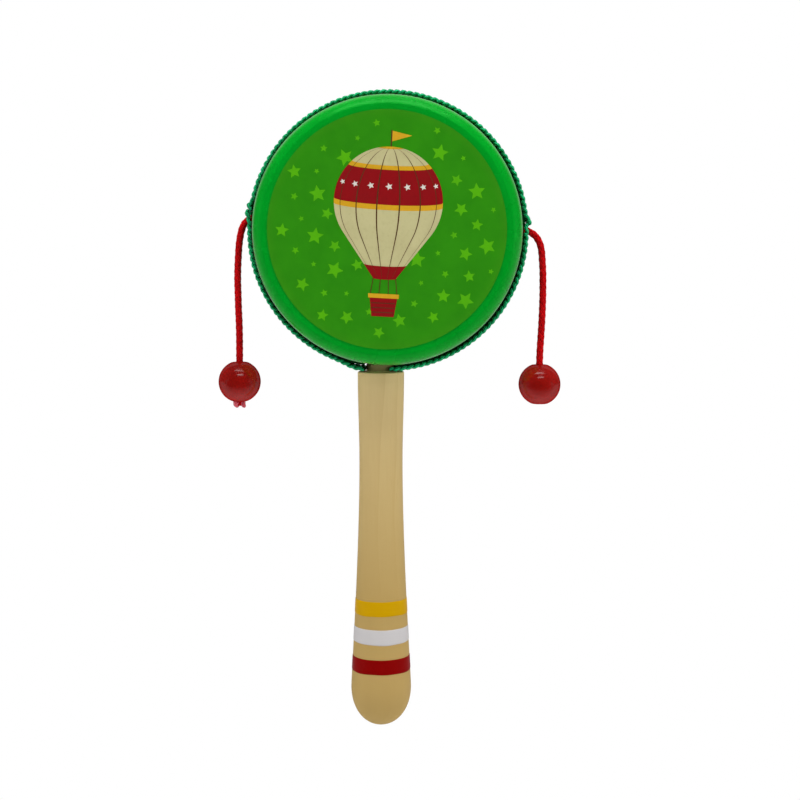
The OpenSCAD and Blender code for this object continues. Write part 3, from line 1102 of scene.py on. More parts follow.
    def tips(self) -> Piece:
        """Shapes the two fused drops at the cord's cut end."""
        bottom = self.bead_centre.z - self.flat_up - self.end_below
        drops = []
        for way in (-1, 1):
            deselect()
            bpy.ops.mesh.primitive_ico_sphere_add(subdivisions=3, radius=self.drop_radius)
            drop = new_piece(f"drop_{way}")
            for vertex in drop.data.vertices:
                place = vertex.co / MM
                wave = 1 + 0.16 * math.sin(3.1 * place.x + way) * math.cos(2.7 * place.y)
                vertex.co = vertex.co * (wave + 0.12 * math.sin(4 * place.z))
                vertex.co.z *= self.drop_length
            turn = Matrix.Rotation(-way * self.drop_splay, 4, "Y")
            x, y, z = self.drop_place
            centre = Vector((self.bead_centre.x + way * x, way * y, bottom + z))
            lay_in(drop, Matrix.Translation(centre) @ turn)
            drops.append(drop)
        piece = join_all(f"{self.side.word}_cord_tips", drops)
        smooth(piece, 60)
        hand_over(piece, f"{self.side.word}_drop", MELTED)
        return piece

    def build(self) -> None:
        """Makes the cord, the bead and what is on the cord."""
        cord = self.cord()
        self.anchor()
        on_it = [self.bead()]
        if self.side is Side.LEFT:
            on_it.append(self.tips())
        self.declare()


@dataclass
class DrumHead:
    """One head: the skin over its shoulder and skirt, and the printed disc with its motif."""

    drum: Drum
    face: Face
    skin: float = 0.4 * MM
    flat: float = 38.3 * MM
    flat_margin: float = 3 * MM
    crease: float = math.radians(24)
    edge: float = 0.9 * MM
    skirt: float = 12.4 * MM
    segments: int = 256

    def build(self) -> None:
        """Makes the skin and dresses the disc."""
        self.stretch_skin()
        low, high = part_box(f"{self.face.word}_print")
        centre = (low + high) / 2
        ground = PrintGround(
            f"{self.face.word} printed ground",
            screen(43, 129, 13),
            screen(39, 123, 12),
            screen(62, 131, 24),
            centre,
            (high.x - low.x) / 2,
        )
        dress_node(f"{self.face.word}_print", ground)

    def outline(self) -> Outline:
        """The skin's outline over flat, soft edge, shoulder and skirt, as radius and height."""
        radius, crease = self.drum.radius, self.crease
        sweep = (radius - self.flat) / (1 - math.sin(crease))
        made = [(0.0, 0.0), (self.flat - self.flat_margin, 0.0)]
        for i in range(5):
            tilt = crease * i / 4
            out = self.edge * (math.sin(tilt) - math.sin(crease))
            made.append((self.flat + out, self.edge * (math.cos(tilt) - 1)))
        drop = made[-1][1]
        for i in range(1, 21):
            tilt = crease + (math.pi / 2 - crease) * i / 20
            out = sweep * (math.sin(tilt) - math.sin(crease))
            made.append((self.flat + out, drop + sweep * (math.cos(tilt) - math.cos(crease))))
        return made + [(radius, -self.skirt)]

    def stretch_skin(self) -> None:
        """Stretches the skin: spins its outline and gives it the skin's thickness."""
        piece = spun_profile(f"{self.face.word}_head_skin", self.outline(), self.segments)
        finish_with(piece, "SOLIDIFY", thickness=self.skin, offset=-1)
        smooth(piece, 30)
        outward = Matrix.Translation((0, self.face.value * self.drum.half_depth, 0))
        lay_in(piece, self.drum.place() @ outward @ Matrix.Rotation(-self.face.value * math.pi / 2, 4, "X"))
        hand_over(piece, "root", VINYL, [f"{self.face.word}_head"])


@dataclass
class PrintedMotif:
    """The inks on a head's disc: stars scattered over the ground, and a striped balloon with its basket."""

    drum: Drum
    face: Face
    disc: float = 36.3 * MM
    layer: float = 0.02 * MM
    star_count: int = 76
    star_sizes: tuple[float, ...] = (2.7 * MM, 1.2 * MM, 1.9 * MM, 0.9 * MM, 2.2 * MM)
    star_waist: float = 0.46
    star_softness: float = 0.07
    belt_star: float = 1.15 * MM
    envelope: float = 16.5 * MM
    envelope_up: float = 8.5 * MM
    tangent: float = math.radians(126)
    mouth_half: float = 3.4 * MM
    sag: float = 1.5 * MM
    basket_top: float = -20.0 * MM
    basket_size: tuple[float, float] = (8.6 * MM, 6.4 * MM)

    def page(self, level: int) -> Matrix:
        """The matrix that lays a drawing, with X right and Z up as it is read, on a level of the disc."""
        low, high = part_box(f"{self.face.word}_print")
        outer = low.y if self.face is Face.FRONT else high.y
        rise = self.face.value * (level - 0.5) * self.layer
        read = Matrix.Identity(4) if self.face is Face.FRONT else Matrix.Scale(-1, 4, Vector((1, 0, 0)))
        return Matrix.Translation((0, outer + rise, 0)) @ self.drum.place() @ read

    def meridian(self, share: float) -> tuple[float, float]:
        """The envelope's half width and height at a share of the way from its mouth up to its crown."""
        across = self.envelope * math.sin(self.tangent)
        seam = Vector((across, self.envelope_up + self.envelope * math.cos(self.tangent)))
        run = (seam.x - self.mouth_half) / -math.cos(self.tangent)
        whole = run + self.envelope * self.tangent
        far = share * whole
        if far < run:
            height = seam.y - (run - far) * math.sin(self.tangent)
            return self.mouth_half - far * math.cos(self.tangent), height
        angle = self.tangent - (far - run) / self.envelope
        return self.envelope * math.sin(angle), self.envelope_up + self.envelope * math.cos(angle)

    def on_envelope(self, share: float, longitude: float) -> Vector:
        """A point of the balloon as it is drawn, with a little of its underside turned to the reader."""
        half, height = self.meridian(share)
        curve = self.sag * math.cos(longitude) * half / self.envelope
        return Vector((half * math.sin(longitude), 0, height - curve))

    def patch(
        self, name: str, shares: tuple[float, float], degrees: tuple[float, float], level: int
    ) -> Piece:
        """Draws the piece of the envelope between two shares of its height and two longitudes."""
        steps = (max(2, int(abs(degrees[1] - degrees[0]) / 3)), max(2, int(abs(shares[1] - shares[0]) * 48)))
        deselect()
        bpy.ops.mesh.primitive_grid_add(x_subdivisions=steps[0], y_subdivisions=steps[1], size=1)
        piece = new_piece(name)
        for vertex in piece.data.vertices:
            across, up = vertex.co.x + 0.5, vertex.co.y + 0.5
            longitude = math.radians(degrees[0] + (degrees[1] - degrees[0]) * across)
            vertex.co = self.on_envelope(shares[0] + (shares[1] - shares[0]) * up, longitude)
        return self.inked(piece, level)

    def panel(self, name: str, corners: Sequence[tuple[float, float]], level: int) -> Piece:
        """Draws a flat shape with straight sides, its corners given in millimetres."""
        deselect()
        bpy.ops.mesh.primitive_circle_add(vertices=len(corners), radius=MM, fill_type="NGON")
        piece = new_piece(name)
        for vertex, (x, z) in zip(piece.data.vertices, corners):
            vertex.co = Vector((x * MM, 0, z * MM))
        return self.inked(piece, level)

    def slab(self, name: str, top: Sequence[float], foot: Sequence[float], level: int) -> Piece:
        """Draws a shape with a level top and foot, each given by its middle, half width and height."""
        (x, half, z), (low_x, low_half, low_z) = top, foot
        corners = [(x + half, z), (x - half, z), (low_x - low_half, low_z), (low_x + low_half, low_z)]
        return self.panel(name, corners, level)

    def star(self, name: str, size: float, turn: float, x: float, z: float, level: int) -> Piece:
        """Draws a five-pointed star with soft points."""
        deselect()
        bpy.ops.mesh.primitive_circle_add(vertices=10, radius=size, fill_type="NGON")
        piece = new_piece(name)
        for vertex in list(piece.data.vertices)[::2]:
            vertex.co *= self.star_waist
        choose(piece, "VERT", lambda vertex: True)
        bpy.ops.mesh.bevel(offset=size * self.star_softness, segments=2, affect="VERTICES")
        bpy.ops.object.mode_set(mode="OBJECT")
        turned = Matrix.Rotation(turn, 4, "Y") @ Matrix.Rotation(math.pi / 2, 4, "X")
        lay_in(piece, Matrix.Translation((x, 0, z)) @ turned)
        return self.inked(piece, level)

    def inked(self, piece: Piece, level: int) -> Piece:
        """Gives a drawn shape the thickness of its ink and lays it on the disc."""
        self.face_reader(piece)
        finish_with(piece, "SOLIDIFY", thickness=self.layer, offset=0)
        tidy_mesh(piece)
        lay_in(piece, self.page(level))
        return piece

    @staticmethod
    def face_reader(piece: Piece) -> None:
        """Turns a flat drawing's faces to the reader, who looks along +Y."""
        piece.data.update()
        if sum(face.normal.y for face in piece.data.polygons) > 0:
            piece.data.flip_normals()

    def stars(self) -> list[Piece]:
        """Scatters the light stars, evenly and at three sizes, and leaves the balloon clear."""
        made = []
        golden = math.pi * (3 - math.sqrt(5))
        for i in range(self.star_count):
            out = self.disc * 0.95 * math.sqrt((i + 0.5) / self.star_count)
            angle = i * golden + (0.4 if self.face is Face.FRONT else 1.9)
            x, z = out * math.cos(angle), out * math.sin(angle)
            size = self.star_sizes[i % len(self.star_sizes)]
            if out + size > self.disc * 0.97 or self.on_balloon(x, z, size):
                continue
            made.append(self.star(f"star_{i}", size, i * 1.7, x, z, 1))
        return made

    def on_balloon(self, x: float, z: float, size: float) -> bool:
        """Says whether a star would lie under the balloon, its basket or its flag."""
        room = size * 0.4
        body = math.hypot(x, z - self.envelope_up) < self.envelope + room
        cone = abs(x) < self.mouth_half + room + max(0.0, z - self.basket_top) * 0.42
        cone = cone and -28 * MM < z < self.envelope_up
        flag = 0 < x + room < 9 * MM and z > self.envelope_up
        return body or cone or flag

    def balloon(self) -> dict[str, list[Piece]]:
        """Draws the balloon, and returns its shapes by the ink that they are printed in."""
        whole = (-90, 90)
        cream = [self.patch("gores", (0, 1), whole, 2)]
        rings = {"belt": (0.52, 0.73), "collar": (0, 0.1)}
        red = [self.patch(name, shares, whole, 3) for name, shares in rings.items()]
        rings = {"belt_low": (0.49, 0.52), "belt_high": (0.73, 0.76), "cap": (0.93, 1)}
        ochre = [self.patch(name, shares, whole, 3) for name, shares in rings.items()]
        seams = (-62, -36, -12, 12, 36, 62)
        lines = [self.patch(f"seam_{d}", (0.0, 0.95), (d - 0.7, d + 0.7), 4) for d in seams]
        white = []
        for i, degrees in enumerate((-66, -42, -21, 0, 21, 42, 66)):
            turned = math.radians(degrees)
            place = self.on_envelope(0.625, turned)
            size = self.belt_star * (0.55 + 0.45 * math.cos(turned))
            white.append(self.star(f"belt_star_{i}", size, 0.3, place.x, place.z, 5))
        self.draw_basket(red, ochre, lines)
        self.draw_flag(ochre, lines)
        return {"cream": cream, "red": red, "ochre": ochre, "white": white, "line": lines}

    def draw_basket(self, red: list, ochre: list, lines: list) -> None:
        """Draws the basket, its rim and its ropes, and adds them to their inks."""
        wide, tall = (size / MM for size in self.basket_size)
        top = self.basket_top / MM
        half = wide / 2
        taper = 0.9
        red.append(self.slab("basket", (0, half, top), (0, half - taper, top - tall), 2))
        rim = (0, half + 0.4, top + 0.5), (0, half + 0.3, top - 0.8)
        ochre.append(self.slab("basket_rim", *rim, 3))
        for row in (2.2, 3.6, 5.0):
            reach = half - taper * row / tall - 0.3
            lines.append(self.slab(f"row_{row}", (0, reach, top - row), (0, reach, top - row - 0.25), 3))
        _, mouth = self.meridian(0)
        rope = 0.13
        for share in (-1, -0.35, 0.35, 1):
            high, low = share * self.mouth_half / MM, share * (half - 0.2)
            lines.append(self.slab(f"rope_{share}", (high, rope, mouth / MM), (low, rope, top), 2))

    def draw_flag(self, ochre: list, lines: list) -> None:
        """Draws the flag on the crown, and adds it to its inks."""
        crown = (self.envelope_up + self.envelope) / MM
        pole = 0.2
        lines.append(self.slab("flag_pole", (0, pole, crown + 5), (0, pole, crown - 0.3), 2))
        ochre.append(self.panel("flag", [(pole, crown + 4.8), (pole, crown + 1.6), (6.2, crown + 3.6)], 2))

    def build(self) -> None:
        """Prints the stars and the balloon, one piece for each ink."""
        shapes = {"star": self.stars(), **self.balloon()}
        for word, drawn in shapes.items():
            piece = join_all(f"{self.face.word}_print_{word}", drawn)
            hand_over(piece, "root", INKS[word])


@dataclass(frozen=True)
class Lift:
    """A place where a length of the braid stands off the wall, by its distance along the ring."""

    length: str
    at: float
    reach: float
    height: float


@dataclass
class BraidTrim:
    """The flat braid round the drum's wall, in three lengths that meet at the cords and part at the neck."""

    NECK = math.radians(270)

    drum: Drum
    cords: Sequence[CordAndBead]
    yarns: int = 7
    laps: int = 19
    half_width: float = 4.7 * MM
    yarn_width: float = 1.7 * MM
    yarn_depth: float = 1.0 * MM
    weave_depth: float = 0.28 * MM
    # Size and place of the dark strips under the braid, painted shade in its gaps.
    shade_strip_depth: float = 0.75 * MM
    shade_strip_width: float = 3.3 * MM
    shade_strip_y: float = 3.3 * MM
    left_joint: float = 1.9 * MM
    right_joint: float = 1.4 * MM
    joint_gap: float = 0.15 * MM
    neck_left: float = math.radians(6.6)
    neck_right: float = math.radians(2.9)
    shade_strip_stop: float = math.radians(6.9)
    proud: float = 0.12 * MM
    eye: float = 2.3 * MM
    neck_eye: float = 5.0 * MM
    step: float = 0.4 * MM
    ragged: float = 0.2 * MM
    turn_back: float = 0.975
    cross_over: float = 2.2
    shade_strip_air: float = 0.05 * MM
    fewest_points: int = 4

    @property
    def outer(self) -> float:
        """The braid's outer radius."""
        _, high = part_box("trim_top")
        return high.z - self.drum.centre.z

    @property
    def middle(self) -> float:
        """The radius of the ring that the braid's yarns wave about."""
        return self.outer + self.proud - self.weave_depth - self.yarn_depth / 2

    def cord_angle(self, side: Side) -> float:
        """The angle on the ring at which a cord comes out."""
        cord = next(cord for cord in self.cords if cord.side is side)
        rise = math.asin(cord.rise / self.drum.radius)
        return rise if side is Side.RIGHT else math.pi - rise

    def arcs(self) -> dict[str, tuple[float, float]]:
        """The angles that each length of the braid runs between, by its node's name."""
        right = self.cord_angle(Side.RIGHT) + self.right_joint / self.middle
        left = self.cord_angle(Side.LEFT) - self.left_joint / self.middle
        return {
            "trim_top": (right, left),
            "trim_lower_left": (left, self.NECK - self.neck_left),
            "trim_lower_right": (self.NECK + self.neck_right, TURN + right),
        }

    def inset(self, name: str) -> tuple[float, float]:
        """How far a length's yarns stop short of its two ends, as angles."""
        gap = self.joint_gap / self.middle
        stops = {"trim_top": (0.0, gap), "trim_lower_left": (gap, 0.0), "trim_lower_right": (0.0, 0.2 * gap)}
        return stops[name]

    def shade_strip_span(self, start: float, end: float) -> tuple[float, float]:
        """The angles that a length's dark shade strips run between: joint to joint, but clear of the neck."""
        if end < self.NECK:
            end = min(end, self.NECK - self.shade_strip_stop)
        return (max(start, self.NECK + self.shade_strip_stop) if start > self.NECK else start), end

    def lifts(self) -> list[Lift]:
        """Where the cut ends stand off: beside the cords, and over the handle's top."""
        arcs = self.arcs()
        right, left = (self.cord_angle(side) * self.middle for side in (Side.RIGHT, Side.LEFT))
        neck = self.NECK * self.middle
        return [
            Lift("trim_top", left - 3.5 * MM, 0.75 * MM, 0.95 * MM),
            Lift("trim_top", right + 1.7 * MM, 1.6 * MM, 1.1 * MM),
            Lift("trim_lower_left", left - 1.0 * MM, 1.9 * MM, 1.0 * MM),
            Lift("trim_lower_left", neck - 8.0 * MM, 3.6 * MM, 0.75 * MM),
            Lift("trim_lower_left", arcs["trim_lower_left"][1] * self.middle, 2.4 * MM, 0.2 * MM),
            Lift("trim_lower_right", arcs["trim_lower_right"][0] * self.middle, 3.2 * MM, 0.2 * MM),
        ]

    def stand_off(self, angle: np.ndarray, name: str) -> np.ndarray:
        """How far a length stands off the wall at each angle."""
        rise = np.zeros_like(angle)
        for lift in self.lifts():
            if lift.length == name:
                rise += lift.height * np.exp(-(((angle * self.middle - lift.at) / lift.reach) ** 2))
        return rise

    def line(self, angle: np.ndarray, radius: np.ndarray, depth: np.ndarray) -> tuple[np.ndarray, np.ndarray]:
        """The points at angles, radii and depths on the leaning drum, and the way out at each."""
        out = self.drum.outward(angle)
        points = np.array(self.drum.centre)[None, :] + out * radius[:, None]
        points[:, 1] += depth
        return points, out

    def strands(self, name: str, start: float, end: float) -> list[Strand]:
        """Lays the yarns of one length of the braid.

        Args:
            name: The length's node.
            start: The angle at which it starts.
            end: The angle at which it ends.

        Returns:
            Its strands, parted round the cords and the neck, and the two dark strips that they lie on, which
            are painted shade under and between the yarns.
        """
        count = int((end - start) * self.middle / self.step)
        made = []
        for yarn in range(self.yarns):
            ragged = self.ragged / self.middle * abs(math.sin(2.3 * yarn))
            first, last = self.inset(name)
            angle = np.linspace(start + first + ragged, end - last - ragged, count)
            phase = angle * self.laps + TURN * yarn / self.yarns
            swing = np.arcsin(self.turn_back * np.sin(phase)) / math.asin(self.turn_back)
            crossing = np.sin((self.yarns - 1) * phase)
            cross = np.tanh(self.cross_over * crossing) / math.tanh(self.cross_over)
            radius = self.middle + self.weave_depth * cross + self.stand_off(angle, name)
            points, out = self.line(angle, radius, self.half_width * swing)
            made += self.parted(points, out, angle)
        made += self.hems(name, start, end)
        # Two dark strips under the yarns, painted shade in the gaps of the braid.
        angle = np.linspace(*self.shade_strip_span(start, end), count)
        deep = self.shade_strip_depth + 0.5 * self.stand_off(angle, name)
        rest = np.ones(count)
        radius = self.drum.radius + self.shade_strip_air + deep / 2
        for side in (-1, 1):
            points, out = self.line(angle, radius, rest * side * self.shade_strip_y)
            made.append(Strand(points, out, rest * self.shade_strip_width, deep, 12, roundness=0.25, slot=1))
        return made

    def hems(self, name: str, start: float, end: float) -> list[Strand]:
        """Folds the yarns over at each cut end, as two short rolls across it; by the neck the rolls take the
        dark shade yarn, painted shade.
        """
        made = []
        first, last = self.inset(name)
        for edge, way in ((start + first, 1), (end - last, -1)):
            for roll in range(2):
                depth = np.linspace(-self.half_width, self.half_width, 48)
                angle = np.full(len(depth), edge + way * (0.4 + 0.9 * roll) * MM / self.middle)
                radius = self.middle + (0.12 - 0.2 * roll) * MM + self.stand_off(angle, name)
                points, out = self.line(angle, radius, depth)
                # By the neck the hems take slot 1, the dark shade yarn: painted shade.
                made += self.parted(points, out, angle, int(abs(edge - self.NECK) < 0.2))
        return made

    def parted(self, points: np.ndarray, out: np.ndarray, angle: np.ndarray, slot: int = 0) -> list[Strand]:
        """Cuts a yarn where it would run into a cord or the neck."""
        clear = np.ones(len(points), bool)
        holes = [(self.cord_angle(side), self.eye) for side in Side] + [(self.NECK, self.neck_eye)]
        for at, room in holes:
            gap = np.angle(np.exp(1j * (angle - at)))
            clear &= np.hypot(gap * self.middle, points[:, 1]) > room
        made = []
        edges = np.flatnonzero(np.diff(np.concatenate([[0], clear.astype(int), [0]])))
        for first, last in zip(edges[::2], edges[1::2]):
            if last - first > self.fewest_points:
                run = slice(first, last)
                taper = np.ones(last - first)
                taper[[0, -1]] = 0.55
                taper[[1, -2]] = 0.9
                wide, deep = self.yarn_width * taper, self.yarn_depth * taper
                made.append(Strand(points[run], out[run], wide, deep, 8, slot=slot))
        return made

    def build(self) -> None:
        """Plaits the three lengths."""
        for name, (start, end) in self.arcs().items():
            piece = woven(name.replace("trim", "braid"), self.strands(name, start, end))
            for finish in (TRIM_YARN, TRIM_SHADE_YARN):
                piece.data.materials.append(finish.material())
            hand_over(piece, "root", None, [name])


@dataclass
class Handle:
    """The turned handle with its neck and tenon, and the rings of paint near its end."""

    top: float = 56.3 * MM
    bottom: float = -55.6 * MM
    top_radius: float = 7.3 * MM
    waist_radius: float = 6.8 * MM
    belly_radius: float = 9.45 * MM
    waist_from_top: float = 28.7 * MM
    belly_from_end: float = 12.2 * MM
    top_edge: float = 0.5 * MM
    neck_radius: float = 3.8 * MM
    collar_radius: float = 4.6 * MM
    collar_height: float = 2.4 * MM
    fullness: float = 2.1
    belly_pull: float = 0.05
    waist_pull: float = 0.4
    top_pull: float = 0.35
    paint: float = 0.1 * MM
    paint_under: float = 0.02 * MM
    paint_wander: float = 0.07 * MM
    segments: int = 160

    @staticmethod
    def along(a: float, b: float, c: float, d: float, s: float) -> float:
        """A cubic curve's value at a share of its way."""
        return a * (1 - s) ** 3 + 3 * b * s * (1 - s) ** 2 + 3 * c * s * s * (1 - s) + d * s**3

    def outline(self) -> Outline:
        """The outline from the rounded end up to the edge of the top, as radius and height."""
        steps = 40
        belly, waist = self.bottom + self.belly_from_end, self.top - self.waist_from_top
        rim = self.top - self.top_edge
        made = []
        for i in range(steps + 1):
            a = math.pi / 2 * i / steps
            radius = self.belly_radius * math.sin(a) ** (2 / self.fullness)
            up = 1 - max(0.0, math.cos(a)) ** (2 / self.fullness)
            made.append((radius, self.bottom + self.belly_from_end * up))
        bends = [
            ((belly, waist), (self.belly_radius, self.waist_radius), (self.belly_pull, self.waist_pull)),
            ((waist, rim), (self.waist_radius, self.top_radius), (self.top_pull, self.top_pull)),
        ]
        for (low, high), (first, last), (pull_low, pull_high) in bends:
            run = high - low
            for i in range(1, steps + 1):
                s = i / steps
                height = self.along(low, low + pull_low * run, high - pull_high * run, high, s)
                made.append((self.along(first, first, last, last, s), height))
        return made

    def radius_at(self, height: float) -> float:
        """The handle's radius at a height."""
        outline = self.outline()
        return float(np.interp(height, [z for _, z in outline], [r for r, _ in outline]))

    def turn_handle(self) -> None:
        """Turns the handle, with its collar and the neck that runs up into the drum."""
        _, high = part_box("handle")
        tenon_top, collar_top = high.z, self.top + self.collar_height
        fillet = 0.3 * MM
        neck, collar, edge = self.neck_radius, self.collar_radius, self.top_edge
        turns = [math.pi / 2 * i / 6 for i in range(7)]
        outline = self.outline()
        for a in turns[1:]:
            outline.append((self.top_radius - edge * (1 - math.cos(a)), self.top - edge * (1 - math.sin(a))))
        for a in turns:
            outline.append((collar + fillet * (1 - math.sin(a)), self.top + fillet * (1 - math.cos(a))))
        outline += [(collar, collar_top - fillet), (collar - fillet, collar_top), (neck, collar_top)]
        outline += [(neck, tenon_top - fillet), (neck - fillet, tenon_top), (0, tenon_top)]
        piece = spun_profile("turned_handle", outline, self.segments)
        smooth(piece, 35)
        hand_over(piece, "root", HANDLE_WOOD, ["handle"])

    def paint_ring(self, node: str, finish: BandPaint) -> None:
        """Paints one ring: a film with soft, slightly wandering edges over the wood."""
        low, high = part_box(node)
        wide = high.z - low.z
        shares = [0, 0.03, 0.08, 0.2, 0.35, 0.5, 0.65, 0.8, 0.92, 0.97, 1]
        cover = [0.1, 0.7, 1, 1, 1, 1, 1, 1, 1, 0.7, 0.1]
        levels = [low.z + wide * s for s in shares]
        outline = [(self.radius_at(z) + self.paint * c, z) for z, c in zip(levels, cover)]
        outline += [(self.radius_at(z) - self.paint_under, z) for z in reversed(levels)]
        outline.append(outline[0])
        piece = spun_profile(f"{node}_paint", outline, self.segments)
        for vertex in piece.data.vertices:
            around = math.atan2(vertex.co.y, vertex.co.x)
            wander = self.paint_wander * (math.sin(3 * around + low.z / MM) + 0.6 * math.sin(7 * around + 2))
            edge = abs((vertex.co.z - low.z) / wide - 0.5) * 2
            vertex.co.z += wander * edge * (0.35 if vertex.co.z > (low.z + high.z) / 2 else 1)
        smooth(piece, 50)
        hand_over(piece, "root", finish, [node])

    def build(self) -> None:
        """Turns the handle and paints its rings."""
        self.turn_handle()
        paints = {
            "yellow": (screen(189, 146, 0), screen(180, 136, 3)),
            "white": (screen(187, 184, 185), screen(180, 175, 171)),
            "red": (screen(126, 0, 0), screen(114, 2, 1)),
        }
        for word, (colour, thin) in paints.items():
            low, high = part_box(f"{word}_band")
            finish = BandPaint(f"{word} band paint", colour, thin, low.z, high.z)
            self.paint_ring(f"{word}_band", finish)


@dataclass(frozen=True)
class Lamp:
    """A rectangular soft box: its place, its width and height, its watts, and whether gloss shows it."""

    name: str
    place: tuple[float, float, float]
    size: tuple[float, float]
    power: float
    in_gloss: bool

    def hang(self) -> None:
        """Hangs the lamp and aims it at the toy."""
        data = bpy.data.lights.new(self.name, "AREA")
        data.shape = "RECTANGLE"
        data.size, data.size_y = self.size
        data.energy = self.power
        lamp = bpy.data.objects.new(self.name, data)
        bpy.context.scene.collection.objects.link(lamp)
        lamp.location = self.place
        aim = Vector((0, 0, 0.05)) - Vector(self.place)
        lamp.rotation_euler = aim.to_track_quat("-Z", "Y").to_euler()
        lamp.visible_glossy = self.in_gloss


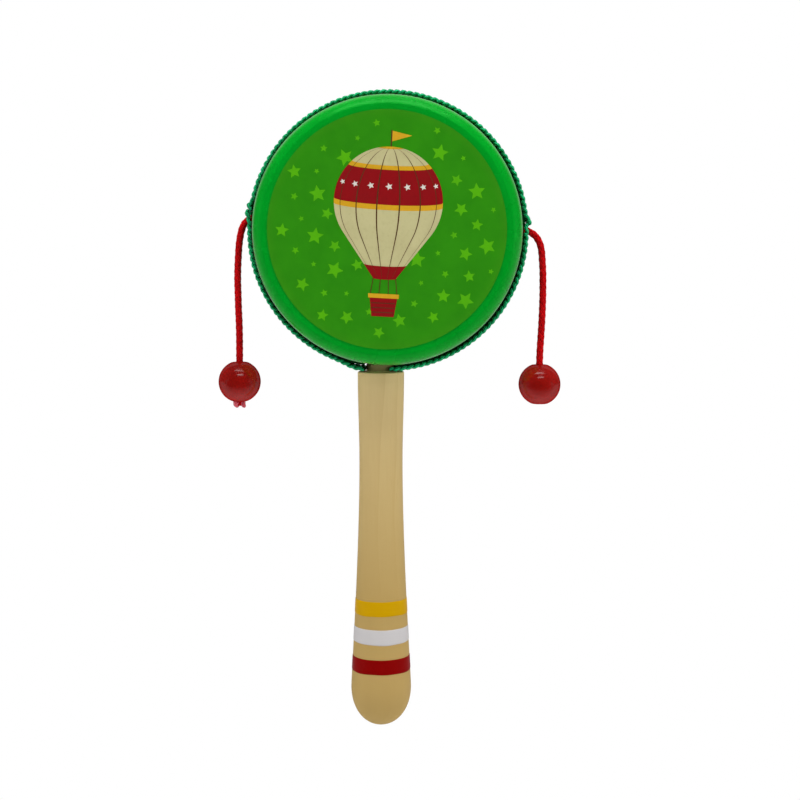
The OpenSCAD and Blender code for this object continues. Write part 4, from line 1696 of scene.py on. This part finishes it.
@dataclass
class Studio:
    """The camera, the soft lights, and the pale floor and backdrop."""

    drum: Drum
    distance: float = 455.8 * MM
    to_the_right: float = 10.82 * MM
    below_drum: float = 12.38 * MM
    tilt: float = math.radians(1.799)
    sensor: float = 36.0
    focal_pixels: float = 1449.7
    frame_pixels: float = 800.0
    axis_pixel: tuple[float, float] = (422.73, 316.0)
    floor_height: float = -0.16
    floor_front: float = -0.7
    surround: float = 0.37
    surround_in_gloss: float = 0.08
    paper_shade: float = 0.82
    shadow_radii: tuple[float, float] = (0.17, 0.215)
    paper_in_gloss: float = 0.6
    ground_span: float = 12.0
    backdrop_distance: float = 4.0
    lamps: tuple[Lamp, ...] = (
        Lamp("top_box", (0.05, -0.15, 0.85), (0.6, 0.5), 8.0, False),
        Lamp("high_strip", (0.0, -0.31, 0.83), (0.7, 0.1), 1.0, True),
        Lamp("front_strip", (0.08, -0.62, 0.62), (0.45, 0.09), 0.65, True),
        Lamp("left_fill", (-0.84, -0.32, 0.05), (0.4, 0.4), 2.6, False),
        Lamp("right_fill", (0.84, -0.32, 0.05), (0.4, 0.4), 2.8, False),
    )

    def build(self) -> None:
        """Sets the camera, the lights and the ground."""
        self.set_camera()
        self.set_world()
        for lamp in self.lamps:
            lamp.hang()
        self.lay_ground()
        bpy.context.scene.view_settings.view_transform = "Standard"

    def set_camera(self) -> None:
        """Stands the camera a little below the drum's centre, tilted down, with the frame's shift."""
        data = bpy.data.cameras.new("camera")
        camera = bpy.data.objects.new("camera", data)
        bpy.context.scene.collection.objects.link(camera)
        data.sensor_width = self.sensor
        data.lens = self.sensor * self.focal_pixels / self.frame_pixels
        half = self.frame_pixels / 2
        data.shift_x = (half - self.axis_pixel[0]) / self.frame_pixels
        data.shift_y = -(half - self.axis_pixel[1]) / self.frame_pixels
        data.clip_start = 0.01
        data.clip_end = 20
        centre = self.drum.centre
        camera.location = (centre.x + self.to_the_right, -self.distance, centre.z - self.below_drum)
        camera.rotation_euler = (math.pi / 2 - self.tilt, 0, 0)
        bpy.context.scene.camera = camera

    def set_world(self) -> None:
        """Makes the world white to the camera, soft grey to the toy, and dark in front of its gloss."""
        world = bpy.data.worlds.new("studio air")
        bpy.context.scene.world = world
        world.use_nodes = True
        world.node_tree.nodes.clear()
        sheet = NodeSheet(world.node_tree)
        path = sheet.put("ShaderNodeLightPath").outputs
        way = sheet.part(sheet.put("ShaderNodeTexCoord").outputs["Generated"], 1)
        in_gloss = sheet.spread(way, -0.9, -0.2, 0.0, self.surround_in_gloss)
        soft = sheet.spread(path["Is Glossy Ray"], 0.0, 1.0, self.surround, in_gloss)
        strength = sheet.sum("MAXIMUM", soft, path["Is Camera Ray"])
        shade = sheet.put("ShaderNodeBackground", {"Color": (1, 1, 1, 1), "Strength": strength})
        sheet.put("ShaderNodeOutputWorld", {0: shade.outputs[0]})

    def lay_ground(self) -> None:
        """Lays the pale floor and stands the backdrop behind it."""
        paper = self.paper()
        span = self.ground_span
        for name, place, turn in (
            ("floor", (0, self.floor_front + span / 2, self.floor_height), 0.0),
            ("backdrop", (0, self.backdrop_distance, span / 2 + self.floor_height), math.pi / 2),
        ):
            deselect()
            bpy.ops.mesh.primitive_plane_add(size=span, location=place, rotation=(turn, 0, 0))
            ground = new_piece(name)
            settle(ground)
            ground.data.materials.append(paper)
            ground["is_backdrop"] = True

    def paper(self) -> bpy.types.Material:
        """The paper of floor and backdrop: white to the camera and in gloss, matte where the shadow falls."""
        material = bpy.data.materials.new("studio paper")
        material.use_nodes = True
        material.node_tree.nodes.clear()
        sheet = NodeSheet(material.node_tree)
        path = sheet.put("ShaderNodeLightPath").outputs
        seen = sheet.sum("MAXIMUM", path["Is Camera Ray"], path["Is Transmission Ray"])
        direct = sheet.sum("MAXIMUM", seen, path["Is Glossy Ray"])
        at = sheet.put("ShaderNodeTexCoord").outputs["Object"]
        away = sheet.put("ShaderNodeVectorMath", {0: at}, operation="LENGTH").outputs["Value"]
        shaded = sheet.spread(away, *self.shadow_radii, 0.75, 1.0)
        grey = (self.paper_shade, self.paper_shade, self.paper_shade, 1)
        matte = sheet.put("ShaderNodeBsdfDiffuse", {"Color": grey})
        in_gloss = sheet.spread(sheet.part(at, 1), -0.4, 0.0, 0.0, self.paper_in_gloss)
        glow = sheet.sum("MAXIMUM", seen, in_gloss)
        white = sheet.put("ShaderNodeEmission", {"Color": (1, 1, 1, 1), "Strength": glow})
        share = sheet.times(direct, shaded)
        mixed = sheet.put("ShaderNodeMixShader", {0: share, 1: matte.outputs[0], 2: white.outputs[0]})
        sheet.put("ShaderNodeOutputMaterial", {0: mixed.outputs[0]})
        return material


LEFT_ROUTE = [
    (0, 0), (1.4, -0.2), (2.6, -0.7), (3.5, -1.5), (4.2, -2.5), (4.7, -3.7), (5.05, -5), (5.55, -8),
    (5.85, -12), (6.05, -16), (6.1, -20), (6, -24), (5.9, -28), (5.7, -33), (5.6, -38),
    (5.6, -42), (5.6, -47), (5.6, -51.6),
]
RIGHT_ROUTE = [
    (0, 0), (1.9, -0.5), (3.4, -1.2), (4.7, -2.2), (5.6, -3.5), (6.25, -5), (6.6, -6.6), (6.9, -10),
    (7.1, -14), (7.1, -17), (7.1, -20), (7, -24), (6.8, -29), (6.5, -34), (6.2, -39),
    (6.1, -43), (6.1, -46), (6.1, -48.8),
]


def main() -> None:
    """Builds the toy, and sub-assembly by sub-assembly."""
    logging.basicConfig(level=logging.INFO, format="%(message)s")
    drum = Drum()
    Studio(drum).build()
    cords = [
        CordAndBead(drum, Side.LEFT, 2.1 * MM, LEFT_ROUTE, end_below=1.2 * MM),
        CordAndBead(drum, Side.RIGHT, 2.8 * MM, RIGHT_ROUTE, end_below=-0.2 * MM),
    ]
    for cord in cords:
        cord.build()
    for face in Face:
        DrumHead(drum, face).build()
        PrintedMotif(drum, face).build()
    dress_node("hoop", HOOP_WOOD)
    BraidTrim(drum, cords).build()
    Handle().build()
    boxes = {"cad": CAD_BOX, "visual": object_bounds()}
    {name: [list(corner) for corner in box] for name, box in boxes.items()}


if __name__ == "__main__":
    main()
